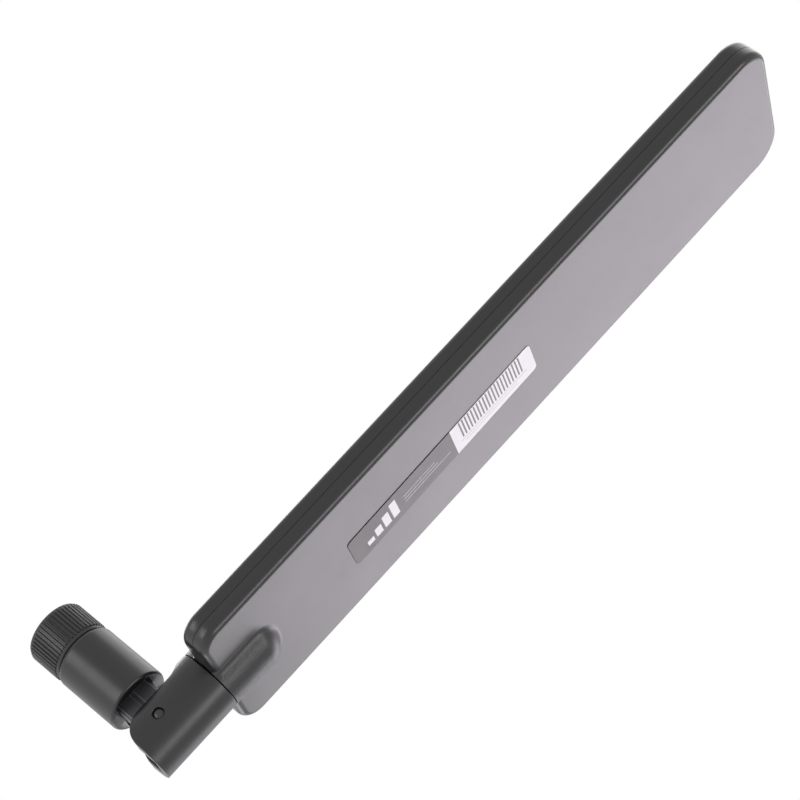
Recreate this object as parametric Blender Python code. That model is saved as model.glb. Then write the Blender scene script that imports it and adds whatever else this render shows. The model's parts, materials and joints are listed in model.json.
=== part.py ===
"""Hinged paddle antenna for a wireless router, with a threaded coaxial plug.

The origin is the middle of the coupling nut's mouth. The plug points along +Y, the
paddle stands along +Z at a right angle to it, and the paddle's labelled front looks
to -Y. The tilt hinge runs along X. Places along the plug are given as a reach, the
distance from the hinge axis towards the plug, and places along the paddle as a
height above the hinge axis.
"""
import math

import bmesh
import bpy
from mathutils import Matrix, Vector

MM = 0.001

# Clearances
FIT_GAP = 0.1 * MM
FACE_GAP = 0.3 * MM
SHELL_SEAM = 0.2 * MM
SKIN_GAP = 0.02 * MM

# Round barrel: the yoke, the base sleeve and the boss on the paddle share it
BARREL_DIAMETER = 13.0 * MM

# Paddle housing
PADDLE_WIDTH = 35.9 * MM
PADDLE_LENGTH = 157.0 * MM
PADDLE_THICKNESS = 6.0 * MM
PADDLE_TOP_CORNER = 6.8 * MM
PADDLE_BOTTOM_CORNER = 4.8 * MM
PADDLE_EDGE_FILLET = 1.45 * MM
PADDLE_WALL = 1.2 * MM
BOSS_LENGTH = 13.9 * MM
BOSS_END_FILLET = 4.0 * MM
MERGE_OVERLAP = 0.05 * MM
LIP_HEIGHT = 0.8 * MM
LIP_INSET = 0.75 * MM

# Yoke
YOKE_TOP = 11.4 * MM
YOKE_BOTTOM = 6.75 * MM
YOKE_RIM_CHAMFER = 0.25 * MM
EAR_REACH = 4.05 * MM
EAR_CORNER_RADIUS = 5.3 * MM
EAR_SHOULDER_HEIGHT = 6.0 * MM
EAR_SHOULDER_RADIUS = 1.1 * MM
SLOT_WIDTH = 5.4 * MM
SLOT_FRONT_WALL = 2.0 * MM
NECK_RADIUS = 4.2 * MM
NECK_FLANGE_RADIUS = 5.0 * MM
NECK_FLANGE_THICKNESS = 1.3 * MM
YOKE_CABLE_BORE = 1.3 * MM

# Hinge tongue and pins
TONGUE_HALF_HEIGHT = 3.9 * MM
TONGUE_SIDE_GAP = 0.25 * MM
TONGUE_CHAMFER = 0.5 * MM
TONGUE_TIP_GAP = 0.5 * MM
TONGUE_ROOT_DEPTH = 1.6 * MM
SNAP_GROOVE_WIDTH = 0.9 * MM
SNAP_GROOVE_DEPTH = 0.3 * MM
PIN_RADIUS = 0.85 * MM
PIN_RECESS_RADIUS = 1.15 * MM
PIN_RECESS_DEPTH = 1.2 * MM
PIN_HEAD_STANDS = 0.45 * MM
CABLE_SLOT_WIDTH = 1.9 * MM
CABLE_SLOT_REACH = 5.6 * MM
CABLE_SLOT_FLOOR = 1.25 * MM
CABLE_HOLE_RADIUS = 1.1 * MM

# Base sleeve
SLEEVE_START = 8.2 * MM
SLEEVE_LENGTH = 14.3 * MM
SLEEVE_HINGE_FILLET = 1.25 * MM
SLEEVE_NUT_CHAMFER = 0.6 * MM
SLEEVE_END_WALL = 2.8 * MM
SLEEVE_CAVITY_RADIUS = 3.3 * MM
SLEEVE_BEARING_RADIUS = 4.6 * MM
SLEEVE_BEARING_DEPTH = 4.5 * MM
POCKET_RADIUS = 5.1 * MM
POCKET_MARGIN = 0.2 * MM
POCKET_DEPTH = 1.2 * MM

# Coupling nut and its knurled grip
NUT_LENGTH = 8.0 * MM
NUT_GRIP_STEP = 0.05 * MM
NUT_RIB_DEPTH = 0.3 * MM
NUT_RIB_COUNT = 48
NUT_COLLAR_STEP = 0.4 * MM
NUT_COLLAR_LENGTH = 0.6 * MM
NUT_MOUTH_CHAMFER = 0.5 * MM
NUT_INSERT_RADIUS = 4.6 * MM
NUT_INSERT_RECESS = 0.3 * MM
NUT_FLANGE_BORE = 2.8 * MM
NUT_FLANGE_THICKNESS = 1.3 * MM
NUT_RING_POCKET_RADIUS = 3.35 * MM
NUT_RING_POCKET_LENGTH = 1.1 * MM
THREAD_RADIUS = 3.1 * MM

# Plug inside the nut
SOCKET_DEPTH = 4.4 * MM
BODY_RADIUS = 2.65 * MM
BODY_BORE = 2.1 * MM
BODY_COLLAR_RADIUS = 4.2 * MM
BODY_COLLAR_THICKNESS = 1.2 * MM
BODY_LENGTH = 9.4 * MM
TAIL_RADIUS = 1.3 * MM
TAIL_BORE = 0.9 * MM
TAIL_LENGTH = 3.5 * MM
RING_GROOVE_DEPTH = 0.35 * MM
SNAP_RING_THICKNESS = 0.3 * MM
SNAP_RING_WIDTH = 0.55 * MM
SNAP_RING_OPENING = math.radians(50)
INSULATOR_LENGTH = 8.6 * MM
CONTACT_RADIUS = 0.62 * MM
CONTACT_BORE = 0.46 * MM
CONTACT_BORE_DEPTH = 3.0 * MM
CONTACT_SLIT_WIDTH = 0.2 * MM
CONTACT_SLIT_DEPTH = 2.0 * MM
FERRULE_WALL = 0.35 * MM
FERRULE_LENGTH = 4.2 * MM
O_RING_SECTION = 0.42 * MM

# Radiator board and cable
BOARD_SIDE_GAP = 2.3 * MM
BOARD_BOSS_GAP = 4.4 * MM
BOARD_END_GAP = 9.5 * MM
BOARD_THICKNESS = 0.6 * MM
BOARD_REST_HEIGHT = 0.3 * MM
BOARD_CORNER = 2.0 * MM
COPPER_THICKNESS = 0.1 * MM
COPPER_MARGIN = 1.5 * MM
FEED_SHARE = 0.45
FEED_GAP = 2.0 * MM
ARM_LENGTH_SHARE = 0.36
TINE_LENGTH_SHARE = 0.6
TINE_WIDTH_SHARE = 0.3
SLOT_WIDTH_SHARE = 0.12
PEG_RADIUS = 0.8 * MM
PEG_REST_RADIUS = 1.6 * MM
PEG_INSET = 2.6 * MM
COAX_RADIUS = 0.7 * MM
COAX_BEND = 4.8 * MM
CORE_RADIUS = 0.2 * MM
SOLDER_RADIUS = 0.7 * MM
SOLDER_FLOOR = 0.15 * MM
SHIELD_SOLDER_LENGTH = 3.0 * MM

# Label
LABEL_WIDTH = 8.9 * MM
LABEL_LENGTH = 51.3 * MM
LABEL_THICKNESS = 0.1 * MM
LABEL_CORNER = 1.0 * MM
LABEL_ACROSS = 0.68 * MM
LABEL_HEIGHT = 71.5 * MM
LABEL_TILT = math.radians(1.5)

# Facets
BARREL_FACETS = 48
SMALL_FACETS = 20
FILLET_STEPS = 4
CORNER_STEPS = 6
O_RING_FACETS = 8

# Derived places, as a reach from the hinge axis
BARREL_RADIUS = BARREL_DIAMETER / 2
NUT_GRIP_RADIUS = BARREL_RADIUS - NUT_GRIP_STEP
NUT_COLLAR_RADIUS = NUT_GRIP_RADIUS - NUT_COLLAR_STEP
SLEEVE_END = SLEEVE_START + SLEEVE_LENGTH
NUT_START = SLEEVE_END + FACE_GAP
NUT_MOUTH = NUT_START + NUT_LENGTH
REFERENCE_PLANE = NUT_MOUTH - SOCKET_DEPTH
BODY_START = REFERENCE_PLANE - BODY_LENGTH
BEARING_FLOOR = SLEEVE_END - SLEEVE_BEARING_DEPTH
COLLAR_START = BEARING_FLOOR + 2 * O_RING_SECTION + FIT_GAP
TONGUE_HALF_WIDTH = SLOT_WIDTH / 2 - TONGUE_SIDE_GAP
BOARD_WIDTH = PADDLE_WIDTH - 2 * (PADDLE_WALL + BOARD_SIDE_GAP)

# Derived heights above the hinge axis
PADDLE_START = YOKE_TOP + FACE_GAP
PADDLE_END = PADDLE_START + PADDLE_LENGTH
BOARD_START = PADDLE_START + BOSS_LENGTH + BOARD_BOSS_GAP
BOARD_END = PADDLE_END - PADDLE_WALL - BOARD_END_GAP
BOARD_LENGTH = BOARD_END - BOARD_START
FEED_HEIGHT = BOARD_START + FEED_SHARE * BOARD_LENGTH
ARM_LENGTH = ARM_LENGTH_SHARE * BOARD_LENGTH
SLOT_ROOF = TONGUE_HALF_HEIGHT + TONGUE_TIP_GAP
SLOT_FRONT = -(BARREL_RADIUS - SLOT_FRONT_WALL)

# Derived depths, measured from the paddle's middle plane, positive to the rear
HALF_THICKNESS = PADDLE_THICKNESS / 2
INNER_FACE = HALF_THICKNESS - PADDLE_WALL
BOSS_ROOT = HALF_THICKNESS - PADDLE_EDGE_FILLET + MERGE_OVERLAP
BOARD_BACK = INNER_FACE - BOARD_REST_HEIGHT
BOARD_FRONT = BOARD_BACK - BOARD_THICKNESS
COPPER_BACK = BOARD_FRONT - SKIN_GAP
COPPER_FRONT = COPPER_BACK - COPPER_THICKNESS
COAX_DEPTH = COPPER_FRONT - SOLDER_FLOOR - 2 * SKIN_GAP - COAX_RADIUS


def clear_scene():
    """Remove whatever objects the file starts with."""
    for item in list(bpy.data.objects):
        bpy.data.objects.remove(item, do_unlink=True)


def material(name, colour, roughness, metallic=0.0):
    """Return the named Principled material, made once."""
    found = bpy.data.materials.get(name)
    if found:
        return found
    made = bpy.data.materials.new(name)
    made.use_nodes = True
    shader = made.node_tree.nodes["Principled BSDF"]
    shader.inputs["Base Color"].default_value = (*colour, 1.0)
    shader.inputs["Roughness"].default_value = roughness
    shader.inputs["Metallic"].default_value = metallic
    return made


def finish_mesh(name, shape, parent):
    """Turn a bmesh into an object whose coordinates are measured from its parent."""
    bmesh.ops.remove_doubles(shape, verts=shape.verts, dist=1e-7)
    bmesh.ops.recalc_face_normals(shape, faces=shape.faces)
    mesh = bpy.data.meshes.new(name)
    shape.to_mesh(mesh)
    shape.free()
    mesh.shade_smooth()
    mesh.set_sharp_from_angle(angle=math.radians(35))
    made = bpy.data.objects.new(name, mesh)
    bpy.context.collection.objects.link(made)
    made.parent = parent
    return made


def empty(name, place):
    """Make an empty that carries the pieces of one moving body."""
    made = bpy.data.objects.new(name, None)
    made.empty_display_size = 5 * MM
    made.location = place
    bpy.context.collection.objects.link(made)
    return made


def arc(centre, radius, start, stop, steps):
    """Return points of an arc, angles in degrees, both ends included."""
    points = []
    for step in range(steps + 1):
        angle = math.radians(start + (stop - start) * step / steps)
        points.append((centre[0] + radius * math.cos(angle), centre[1] + radius * math.sin(angle)))
    return points


def turned(profile, along, facets):
    """Spin a closed profile of (radius, distance) points round the Y or Z axis."""
    shape = bmesh.new()
    axis = Vector((0, 1, 0)) if along == "Y" else Vector((0, 0, 1))
    verts = [shape.verts.new(Vector((radius, 0, 0)) + axis * distance) for radius, distance in profile]
    edges = [shape.edges.new((verts[i - 1], verts[i])) for i in range(len(verts))]
    on_axis = [e for e in edges if all(abs(v.co.x) < 1e-9 for v in e.verts)]
    for edge in on_axis:
        shape.edges.remove(edge)
        edges.remove(edge)
    bmesh.ops.spin(
        shape, geom=verts + edges, cent=(0, 0, 0), axis=axis, angle=2 * math.pi, steps=facets, use_merge=True
    )
    return shape


def prism(outline, normal, low, high):
    """Extrude a flat outline along X or Y between two distances.

    The outline's points are (across, up): (y, z) for an X prism and (x, z) for a Y prism.
    """
    shape = bmesh.new()
    if normal == "X":
        verts = [shape.verts.new((low, across, up)) for across, up in outline]
        step = Vector((high - low, 0, 0))
    else:
        verts = [shape.verts.new((across, low, up)) for across, up in outline]
        step = Vector((0, high - low, 0))
    face = shape.faces.new(verts)
    grown = bmesh.ops.extrude_face_region(shape, geom=[face])
    moved = [vert for vert in grown["geom"] if isinstance(vert, bmesh.types.BMVert)]
    bmesh.ops.translate(shape, vec=step, verts=moved)
    return shape


def lofted(rings, closed):
    """Join rings of equally many points: back to the first ring, or capped at both ends."""
    shape = bmesh.new()
    rows = [[shape.verts.new(point) for point in ring] for ring in rings]
    for row, following in zip(rows, rows[1:] + rows[:1] if closed else rows[1:]):
        for number in range(len(row)):
            shape.faces.new((row[number - 1], row[number], following[number], following[number - 1]))
    if not closed:
        shape.faces.new(rows[0])
        shape.faces.new(rows[-1])
    return shape


def rectangle(low_across, high_across, low_up, high_up):
    """Return the four corners of a rectangle as outline points."""
    return [(low_across, low_up), (high_across, low_up), (high_across, high_up), (low_across, high_up)]


def rounded_outline(half_width, bottom, top, bottom_radius, top_radius):
    """Return a rectangle's outline with round corners, centred across."""
    low = bottom + bottom_radius
    high = top - top_radius
    points = arc((half_width - bottom_radius, low), bottom_radius, -90, 0, CORNER_STEPS)
    points += arc((half_width - top_radius, high), top_radius, 0, 90, CORNER_STEPS)
    points += arc((top_radius - half_width, high), top_radius, 90, 180, CORNER_STEPS)
    points += arc((bottom_radius - half_width, low), bottom_radius, 180, 270, CORNER_STEPS)
    return points


def paddle_outline(inset):
    """Return the paddle's outline, moved inwards by the inset."""
    return rounded_outline(
        PADDLE_WIDTH / 2 - inset,
        PADDLE_START + inset,
        PADDLE_END - inset,
        PADDLE_BOTTOM_CORNER - inset,
        PADDLE_TOP_CORNER - inset,
    )


def boolean(target, tool, operation):
    """Add an exact Boolean to the target, with the tool hidden as a guide."""
    tool.hide_render = True
    tool.display_type = "WIRE"
    modifier = target.modifiers.new(tool.name, "BOOLEAN")
    modifier.operation = operation
    modifier.solver = "EXACT"
    modifier.object = tool


def cut(target, name, shape):
    """Take a shape away from the target."""
    boolean(target, finish_mesh(name, shape, target.parent), "DIFFERENCE")


def add(target, name, shape):
    """Join a shape to the target."""
    boolean(target, finish_mesh(name, shape, target.parent), "UNION")


def rounded_end(radius, height, fillet):
    """Return the profile of a round bar's end whose edge is filleted, from side to axis."""
    return arc((radius - fillet, height - fillet), fillet, 0, 90, FILLET_STEPS) + [(0, height)]


def peg_places():
    """Return where the locating pegs stand, as (across, height)."""
    across = BOARD_WIDTH / 2 - PEG_INSET
    low = BOARD_START + PEG_INSET
    high = BOARD_START + BOARD_LENGTH - PEG_INSET
    return [(side * across, height) for side in (-1, 1) for height in (low, high)]


def y_cylinder(across, height, radius, low, high, facets=SMALL_FACETS):
    """Return a cylinder that runs along Y at one place on the paddle."""
    outline = arc((across, height), radius, 0, 360, facets)[:-1]
    return prism(outline, "Y", low, high)


def paddle_ring(inset, depth):
    """Return the paddle's outline as points at one depth."""
    return [Vector((across, depth, up)) for across, up in paddle_outline(inset)]


def half_shell(name, side, rim, parent):
    """Make one moulded half of the paddle: side is -1 for the front and 1 for the rear.

    The rim lists (inset, depth) pairs that lead from the outer wall to the inner one.
    """
    start = HALF_THICKNESS - PADDLE_EDGE_FILLET
    corner = arc((PADDLE_EDGE_FILLET, start), PADDLE_EDGE_FILLET, 90, 180, FILLET_STEPS)
    rings = [paddle_ring(inset, side * depth) for inset, depth in corner]
    rings += [paddle_ring(inset, depth) for inset, depth in rim]
    rings.append(paddle_ring(PADDLE_WALL, side * INNER_FACE))
    shell = finish_mesh(name, lofted(rings, closed=False), parent)
    boss_end = PADDLE_START + BOSS_LENGTH
    boss = [(0, PADDLE_START), (BARREL_RADIUS, PADDLE_START)]
    boss += rounded_end(BARREL_RADIUS, boss_end, BOSS_END_FILLET)
    form = turned(boss, "Z", BARREL_FACETS)
    keep_beyond(form, Vector((0, side * BOSS_ROOT, 0)), Vector((0, side, 0)))
    add(shell, name + "_boss_form", form)
    bore = BARREL_RADIUS - PADDLE_WALL
    bore_start = PADDLE_START + PADDLE_WALL + FIT_GAP
    bore_profile = [(0, bore_start), (bore, bore_start)]
    bore_profile += rounded_end(bore, boss_end - PADDLE_WALL, BOSS_END_FILLET - PADDLE_WALL)
    cut(shell, name + "_boss_bore", turned(bore_profile, "Z", BARREL_FACETS))
    hole = NECK_RADIUS + FACE_GAP
    low = PADDLE_START - PADDLE_WALL
    high = PADDLE_START + 2 * PADDLE_WALL
    hole_profile = [(0, low), (hole, low), (hole, high), (0, high)]
    cut(shell, name + "_neck_hole", turned(hole_profile, "Z", BARREL_FACETS))
    shell.data.materials.append(material("paddle_black", (0.055, 0.055, 0.06), 0.42))
    return shell


def keep_beyond(shape, place, direction):
    """Cut a closed shape at a plane, keep the side the direction points to and close it."""
    bmesh.ops.remove_doubles(shape, verts=shape.verts, dist=1e-7)
    everything = shape.verts[:] + shape.edges[:] + shape.faces[:]
    bmesh.ops.bisect_plane(shape, geom=everything, plane_co=place, plane_no=direction, clear_inner=True)
    open_edges = [edge for edge in shape.edges if edge.is_boundary]
    bmesh.ops.contextual_create(shape, geom=open_edges)


def front_cover(parent):
    """Make the front half, with a rebate that takes the rear half's lip."""
    rebate_floor = -(LIP_HEIGHT + FACE_GAP)
    rim = [
        (0, -SHELL_SEAM / 2), (LIP_INSET - FACE_GAP, -SHELL_SEAM / 2), (LIP_INSET - FACE_GAP, rebate_floor),
        (PADDLE_WALL, rebate_floor),
    ]
    return half_shell("front_cover", -1, rim, parent)


def rear_cover(parent):
    """Make the rear half, with its lip and the pegs that hold the board."""
    rim = [
        (0, SHELL_SEAM / 2), (LIP_INSET, SHELL_SEAM / 2), (LIP_INSET, -LIP_HEIGHT),
        (PADDLE_WALL, -LIP_HEIGHT),
    ]
    shell = half_shell("rear_cover", 1, rim, parent)
    root = INNER_FACE + PADDLE_WALL / 2
    rest = BOARD_BACK + SKIN_GAP
    peg_tip = BOARD_FRONT - BOARD_THICKNESS
    profile = [(0, peg_tip), (PEG_RADIUS, peg_tip), (PEG_RADIUS, rest), (PEG_REST_RADIUS, rest)]
    profile += [(PEG_REST_RADIUS, root), (0, root)]
    for number, (across, height) in enumerate(peg_places()):
        peg = turned(profile, "Y", SMALL_FACETS)
        bmesh.ops.translate(peg, vec=(across, 0, height), verts=peg.verts)
        add(shell, f"board_peg_{number}", peg)
    return shell


def radiator_board(parent):
    """Make the circuit board with its four peg holes."""
    outline = rounded_outline(
        BOARD_WIDTH / 2, BOARD_START, BOARD_START + BOARD_LENGTH, BOARD_CORNER, BOARD_CORNER
    )
    board = finish_mesh("radiator_board", prism(outline, "Y", BOARD_FRONT, BOARD_BACK), parent)
    for number, (across, height) in enumerate(peg_places()):
        low = BOARD_FRONT - PEG_RADIUS
        hole = y_cylinder(across, height, PEG_RADIUS + FIT_GAP, low, BOARD_BACK + PEG_RADIUS)
        cut(board, f"peg_hole_{number}", hole)
    board.data.materials.append(material("board_green", (0.05, 0.2, 0.09), 0.4))
    return board


def radiator(name, direction, parent):
    """Make one arm of the dipole: direction 1 goes up from the feed and -1 goes down.

    Each arm is a wide plate at the feed that divides into a middle stem and two side
    tines, for two bands.
    """
    half = BOARD_WIDTH / 2 - COPPER_MARGIN - PEG_INSET - PEG_REST_RADIUS
    tine = TINE_WIDTH_SHARE * 2 * half
    stem = half - tine - SLOT_WIDTH_SHARE * 2 * half
    root = FEED_HEIGHT + direction * FEED_GAP / 2
    fork = root + direction * tine
    tip = root + direction * ARM_LENGTH
    tine_tip = root + direction * TINE_LENGTH_SHARE * ARM_LENGTH
    right = [(half, root), (half, tine_tip), (half - tine, tine_tip), (half - tine, fork), (stem, fork)]
    right += [(stem, tip)]
    left = [(-across, height) for across, height in reversed(right)]
    plate = finish_mesh(name, prism(right + left, "Y", COPPER_FRONT, COPPER_BACK), parent)
    plate.data.materials.append(material("copper", (0.72, 0.38, 0.22), 0.35, 1.0))
    return plate


def coax_route():
    """Return the cable's points as (depth or reach, height), from the plug to the feed."""
    start = BODY_START - TAIL_LENGTH / 2
    end = FEED_HEIGHT - FEED_GAP / 2 - COAX_RADIUS
    corner = 0.29 * COAX_BEND
    knots = [
        (start, 0), (0.7 * start, 0), (COAX_BEND + 2 * COAX_RADIUS, 0), (0.62 * COAX_BEND, 0.08 * COAX_BEND),
        (corner, corner), (0.08 * COAX_BEND, 0.62 * COAX_BEND), (0, COAX_BEND + 2 * COAX_RADIUS),
        (COAX_DEPTH / 2, PADDLE_START + BOSS_LENGTH / 2), (COAX_DEPTH, BOARD_START - COAX_BEND),
        (COAX_DEPTH, BOARD_START + COAX_BEND), (COAX_DEPTH, (BOARD_START + end) / 2), (COAX_DEPTH, end),
    ]
    return smooth_curve([Vector((0, depth, height)) for depth, height in knots], 6)


def smooth_curve(knots, steps):
    """Sample a centripetal curve that passes through every knot."""
    ends = [2 * knots[0] - knots[1]] + knots + [2 * knots[-1] - knots[-2]]
    points = []
    for a, b, c, d in zip(ends, ends[1:], ends[2:], ends[3:]):
        spans = [math.sqrt((q - p).length) for p, q in ((a, b), (b, c), (c, d))]
        t0, t1 = 0.0, spans[0]
        t2 = t1 + spans[1]
        t3 = t2 + spans[2]
        for step in range(steps):
            t = t1 + (t2 - t1) * step / steps
            ab = a.lerp(b, (t - t0) / (t1 - t0))
            bc = b.lerp(c, (t - t1) / (t2 - t1))
            cd = c.lerp(d, (t - t2) / (t3 - t2))
            abc = ab.lerp(bc, (t - t0) / (t2 - t0))
            bcd = bc.lerp(cd, (t - t1) / (t3 - t1))
            points.append(abc.lerp(bcd, (t - t1) / (t2 - t1)))
    points.append(knots[-1])
    return points


def tube(name, points, radius, resolution, parent):
    """Make a curve object that is a solid round cord through the points."""
    data = bpy.data.curves.new(name, "CURVE")
    data.dimensions = "3D"
    data.bevel_depth = radius
    data.bevel_resolution = resolution
    data.use_fill_caps = True
    spline = data.splines.new("POLY")
    spline.points.add(len(points) - 1)
    for point, place in zip(spline.points, points):
        point.co = (*place, 1.0)
    made = bpy.data.objects.new(name, data)
    bpy.context.collection.objects.link(made)
    made.parent = parent
    return made


def cable(parent):
    """Make the coaxial cable and the bare inner conductor at its end."""
    route = coax_route()
    coax = tube("coax_cable", route, COAX_RADIUS, 2, parent)
    coax.data.materials.append(material("cable_jacket", (0.03, 0.03, 0.032), 0.5))
    core_start = route[-1].z + SKIN_GAP
    core_end = FEED_HEIGHT + FEED_GAP
    core_route = [Vector((0, COAX_DEPTH, core_start)), Vector((0, COAX_DEPTH, core_end))]
    core = tube("coax_core", core_route, CORE_RADIUS, 2, parent)
    core.data.materials.append(material("tinned_copper", (0.75, 0.72, 0.68), 0.3, 1.0))


def solder_joints(parent):
    """Make the two solder joints that hold the cable on the board."""
    grey = material("solder", (0.62, 0.63, 0.64), 0.32, 1.0)
    low = COPPER_FRONT - SKIN_GAP
    top = COAX_DEPTH - CORE_RADIUS - SOLDER_RADIUS / 2
    core_height = FEED_HEIGHT + FEED_GAP + SOLDER_RADIUS / 2
    core_joint = finish_mesh(
        "core_solder", y_cylinder(0, core_height, SOLDER_RADIUS * 1.3, top, low), parent
    )
    chamfer_rim(core_joint, top, SOLDER_RADIUS / 2)
    core_bore = arc((COAX_DEPTH, 0), CORE_RADIUS + FIT_GAP, 0, 360, SMALL_FACETS)[:-1]
    cut(core_joint, "core_solder_bore", along_z(core_bore, 0, core_height - SOLDER_RADIUS / 4))
    core_joint.data.materials.append(grey)
    end = FEED_HEIGHT - FEED_GAP / 2 - 2 * COAX_RADIUS
    half = COAX_RADIUS + SOLDER_RADIUS
    block = rectangle(-half, half, end - SHIELD_SOLDER_LENGTH, end)
    shield_joint = finish_mesh("shield_solder", prism(block, "Y", COAX_DEPTH, low), parent)
    chamfer_rim(shield_joint, COAX_DEPTH, SOLDER_RADIUS / 2)
    shield_bore = arc((COAX_DEPTH, 0), COAX_RADIUS + SKIN_GAP, 0, 360, SMALL_FACETS)[:-1]
    cut(shield_joint, "shield_solder_bore", along_z(shield_bore, end - 2 * SHIELD_SOLDER_LENGTH, end + half))
    shield_joint.data.materials.append(grey)


def along_z(outline, low, high):
    """Extrude an outline of (depth, across) points along the paddle between two heights."""
    shape = bmesh.new()
    face = shape.faces.new([shape.verts.new((across, depth, low)) for depth, across in outline])
    grown = bmesh.ops.extrude_face_region(shape, geom=[face])
    moved = [v for v in grown["geom"] if isinstance(v, bmesh.types.BMVert)]
    bmesh.ops.translate(shape, vec=(0, 0, high - low), verts=moved)
    return shape


def chamfer_rim(target, depth, width):
    """Chamfer the edges of an object that lie at one depth."""
    shape = bmesh.new()
    shape.from_mesh(target.data)
    rim = [edge for edge in shape.edges if all(abs(v.co.y - depth) < 1e-7 for v in edge.verts)]
    bmesh.ops.bevel(
        shape, geom=rim, offset=width, offset_type="OFFSET", segments=2, profile=0.5,
        affect="EDGES", clamp_overlap=True, material=-1,
    )
    shape.to_mesh(target.data)
    shape.free()


def label(parent):
    """Make the printed film on the paddle's front face."""
    half = LABEL_LENGTH / 2
    outline = rounded_outline(LABEL_WIDTH / 2, -half, half, LABEL_CORNER, LABEL_CORNER)
    low = -HALF_THICKNESS - SKIN_GAP
    shape = prism(outline, "Y", low, low - LABEL_THICKNESS)
    turn = Matrix.Rotation(-LABEL_TILT, 4, "Y")
    bmesh.ops.transform(shape, matrix=turn, verts=shape.verts)
    bmesh.ops.translate(shape, vec=(LABEL_ACROSS, 0, LABEL_HEIGHT), verts=shape.verts)
    film = finish_mesh("label", shape, parent)
    film.data.materials.append(material("label_film", (0.45, 0.44, 0.45), 0.5))
    return film


def yoke(parent):
    """Make the yoke: a round bar with a slot at its foot and a flanged neck on top."""
    chamfer = YOKE_RIM_CHAMFER
    flange_low = PADDLE_START + PADDLE_WALL + FACE_GAP
    flange_high = flange_low + NECK_FLANGE_THICKNESS
    profile = [
        (0, -YOKE_BOTTOM), (BARREL_RADIUS - chamfer, -YOKE_BOTTOM), (BARREL_RADIUS, chamfer - YOKE_BOTTOM),
        (BARREL_RADIUS, YOKE_TOP - chamfer), (BARREL_RADIUS - chamfer, YOKE_TOP), (NECK_RADIUS, YOKE_TOP),
        (NECK_RADIUS, flange_low), (NECK_FLANGE_RADIUS, flange_low), (NECK_FLANGE_RADIUS, flange_high),
        (0, flange_high),
    ]
    body = finish_mesh("yoke", turned(profile, "Z", BARREL_FACETS), parent)
    past = BARREL_DIAMETER
    slot = rectangle(SLOT_FRONT, past, -past, SLOT_ROOF)
    cut(body, "yoke_slot", prism(slot, "X", -SLOT_WIDTH / 2, SLOT_WIDTH / 2))
    cut(body, "yoke_ear_trim", prism(ear_trim_outline(), "X", -past, past))
    bore = [(0, 0), (YOKE_CABLE_BORE, 0), (YOKE_CABLE_BORE, flange_high + past), (0, flange_high + past)]
    cut(body, "yoke_cable_bore", turned(bore, "Z", SMALL_FACETS))
    cut(body, "yoke_pin_bore", x_cylinder(PIN_RADIUS + FIT_GAP, -past, past))
    recess_floor = BARREL_RADIUS - PIN_RECESS_DEPTH
    for side, word in ((-1, "left"), (1, "right")):
        cut(body, f"yoke_{word}_recess", x_cylinder(PIN_RECESS_RADIUS, side * recess_floor, side * past))
    body.data.materials.append(material("barrel_black", (0.05, 0.05, 0.053), 0.45))
    return body


def ear_trim_outline():
    """Return the (reach, height) outline of what is cut from behind and below the ears."""
    far = 1.5 * BARREL_DIAMETER
    corner = (EAR_REACH - EAR_CORNER_RADIUS, EAR_CORNER_RADIUS - YOKE_BOTTOM)
    shoulder = (EAR_REACH + EAR_SHOULDER_RADIUS, EAR_SHOULDER_HEIGHT)
    outline = arc(corner, EAR_CORNER_RADIUS, -90, 0, CORNER_STEPS)
    outline += arc(shoulder, EAR_SHOULDER_RADIUS, 180, 90, FILLET_STEPS)
    outline += [(far, EAR_SHOULDER_HEIGHT + EAR_SHOULDER_RADIUS), (far, -far), (corner[0], -far)]
    return outline


def x_cylinder(radius, low, high, facets=SMALL_FACETS):
    """Return a cylinder on the hinge axis between two distances across."""
    return prism(arc((0, 0), radius, 0, 360, facets)[:-1], "X", low, high)


def hinge_pin(name, side, parent):
    """Make one short hinge pin with a rounded head that shows in its recess."""
    inner = CABLE_SLOT_WIDTH / 2 + FACE_GAP
    outer = BARREL_RADIUS - PIN_RECESS_DEPTH + PIN_HEAD_STANDS
    dome = PIN_RADIUS / 3
    profile = [(0, inner), (PIN_RADIUS, inner)]
    profile += arc((PIN_RADIUS - dome, outer - dome), dome, 0, 90, FILLET_STEPS) + [(0, outer)]
    shape = turned(profile, "Y", SMALL_FACETS)
    bmesh.ops.rotate(shape, matrix=Matrix.Rotation(-side * math.pi / 2, 3, "Z"), verts=shape.verts)
    pin = finish_mesh(name, shape, parent)
    pin.data.materials.append(material("pin_black", (0.06, 0.06, 0.065), 0.35))
    return pin


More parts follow.
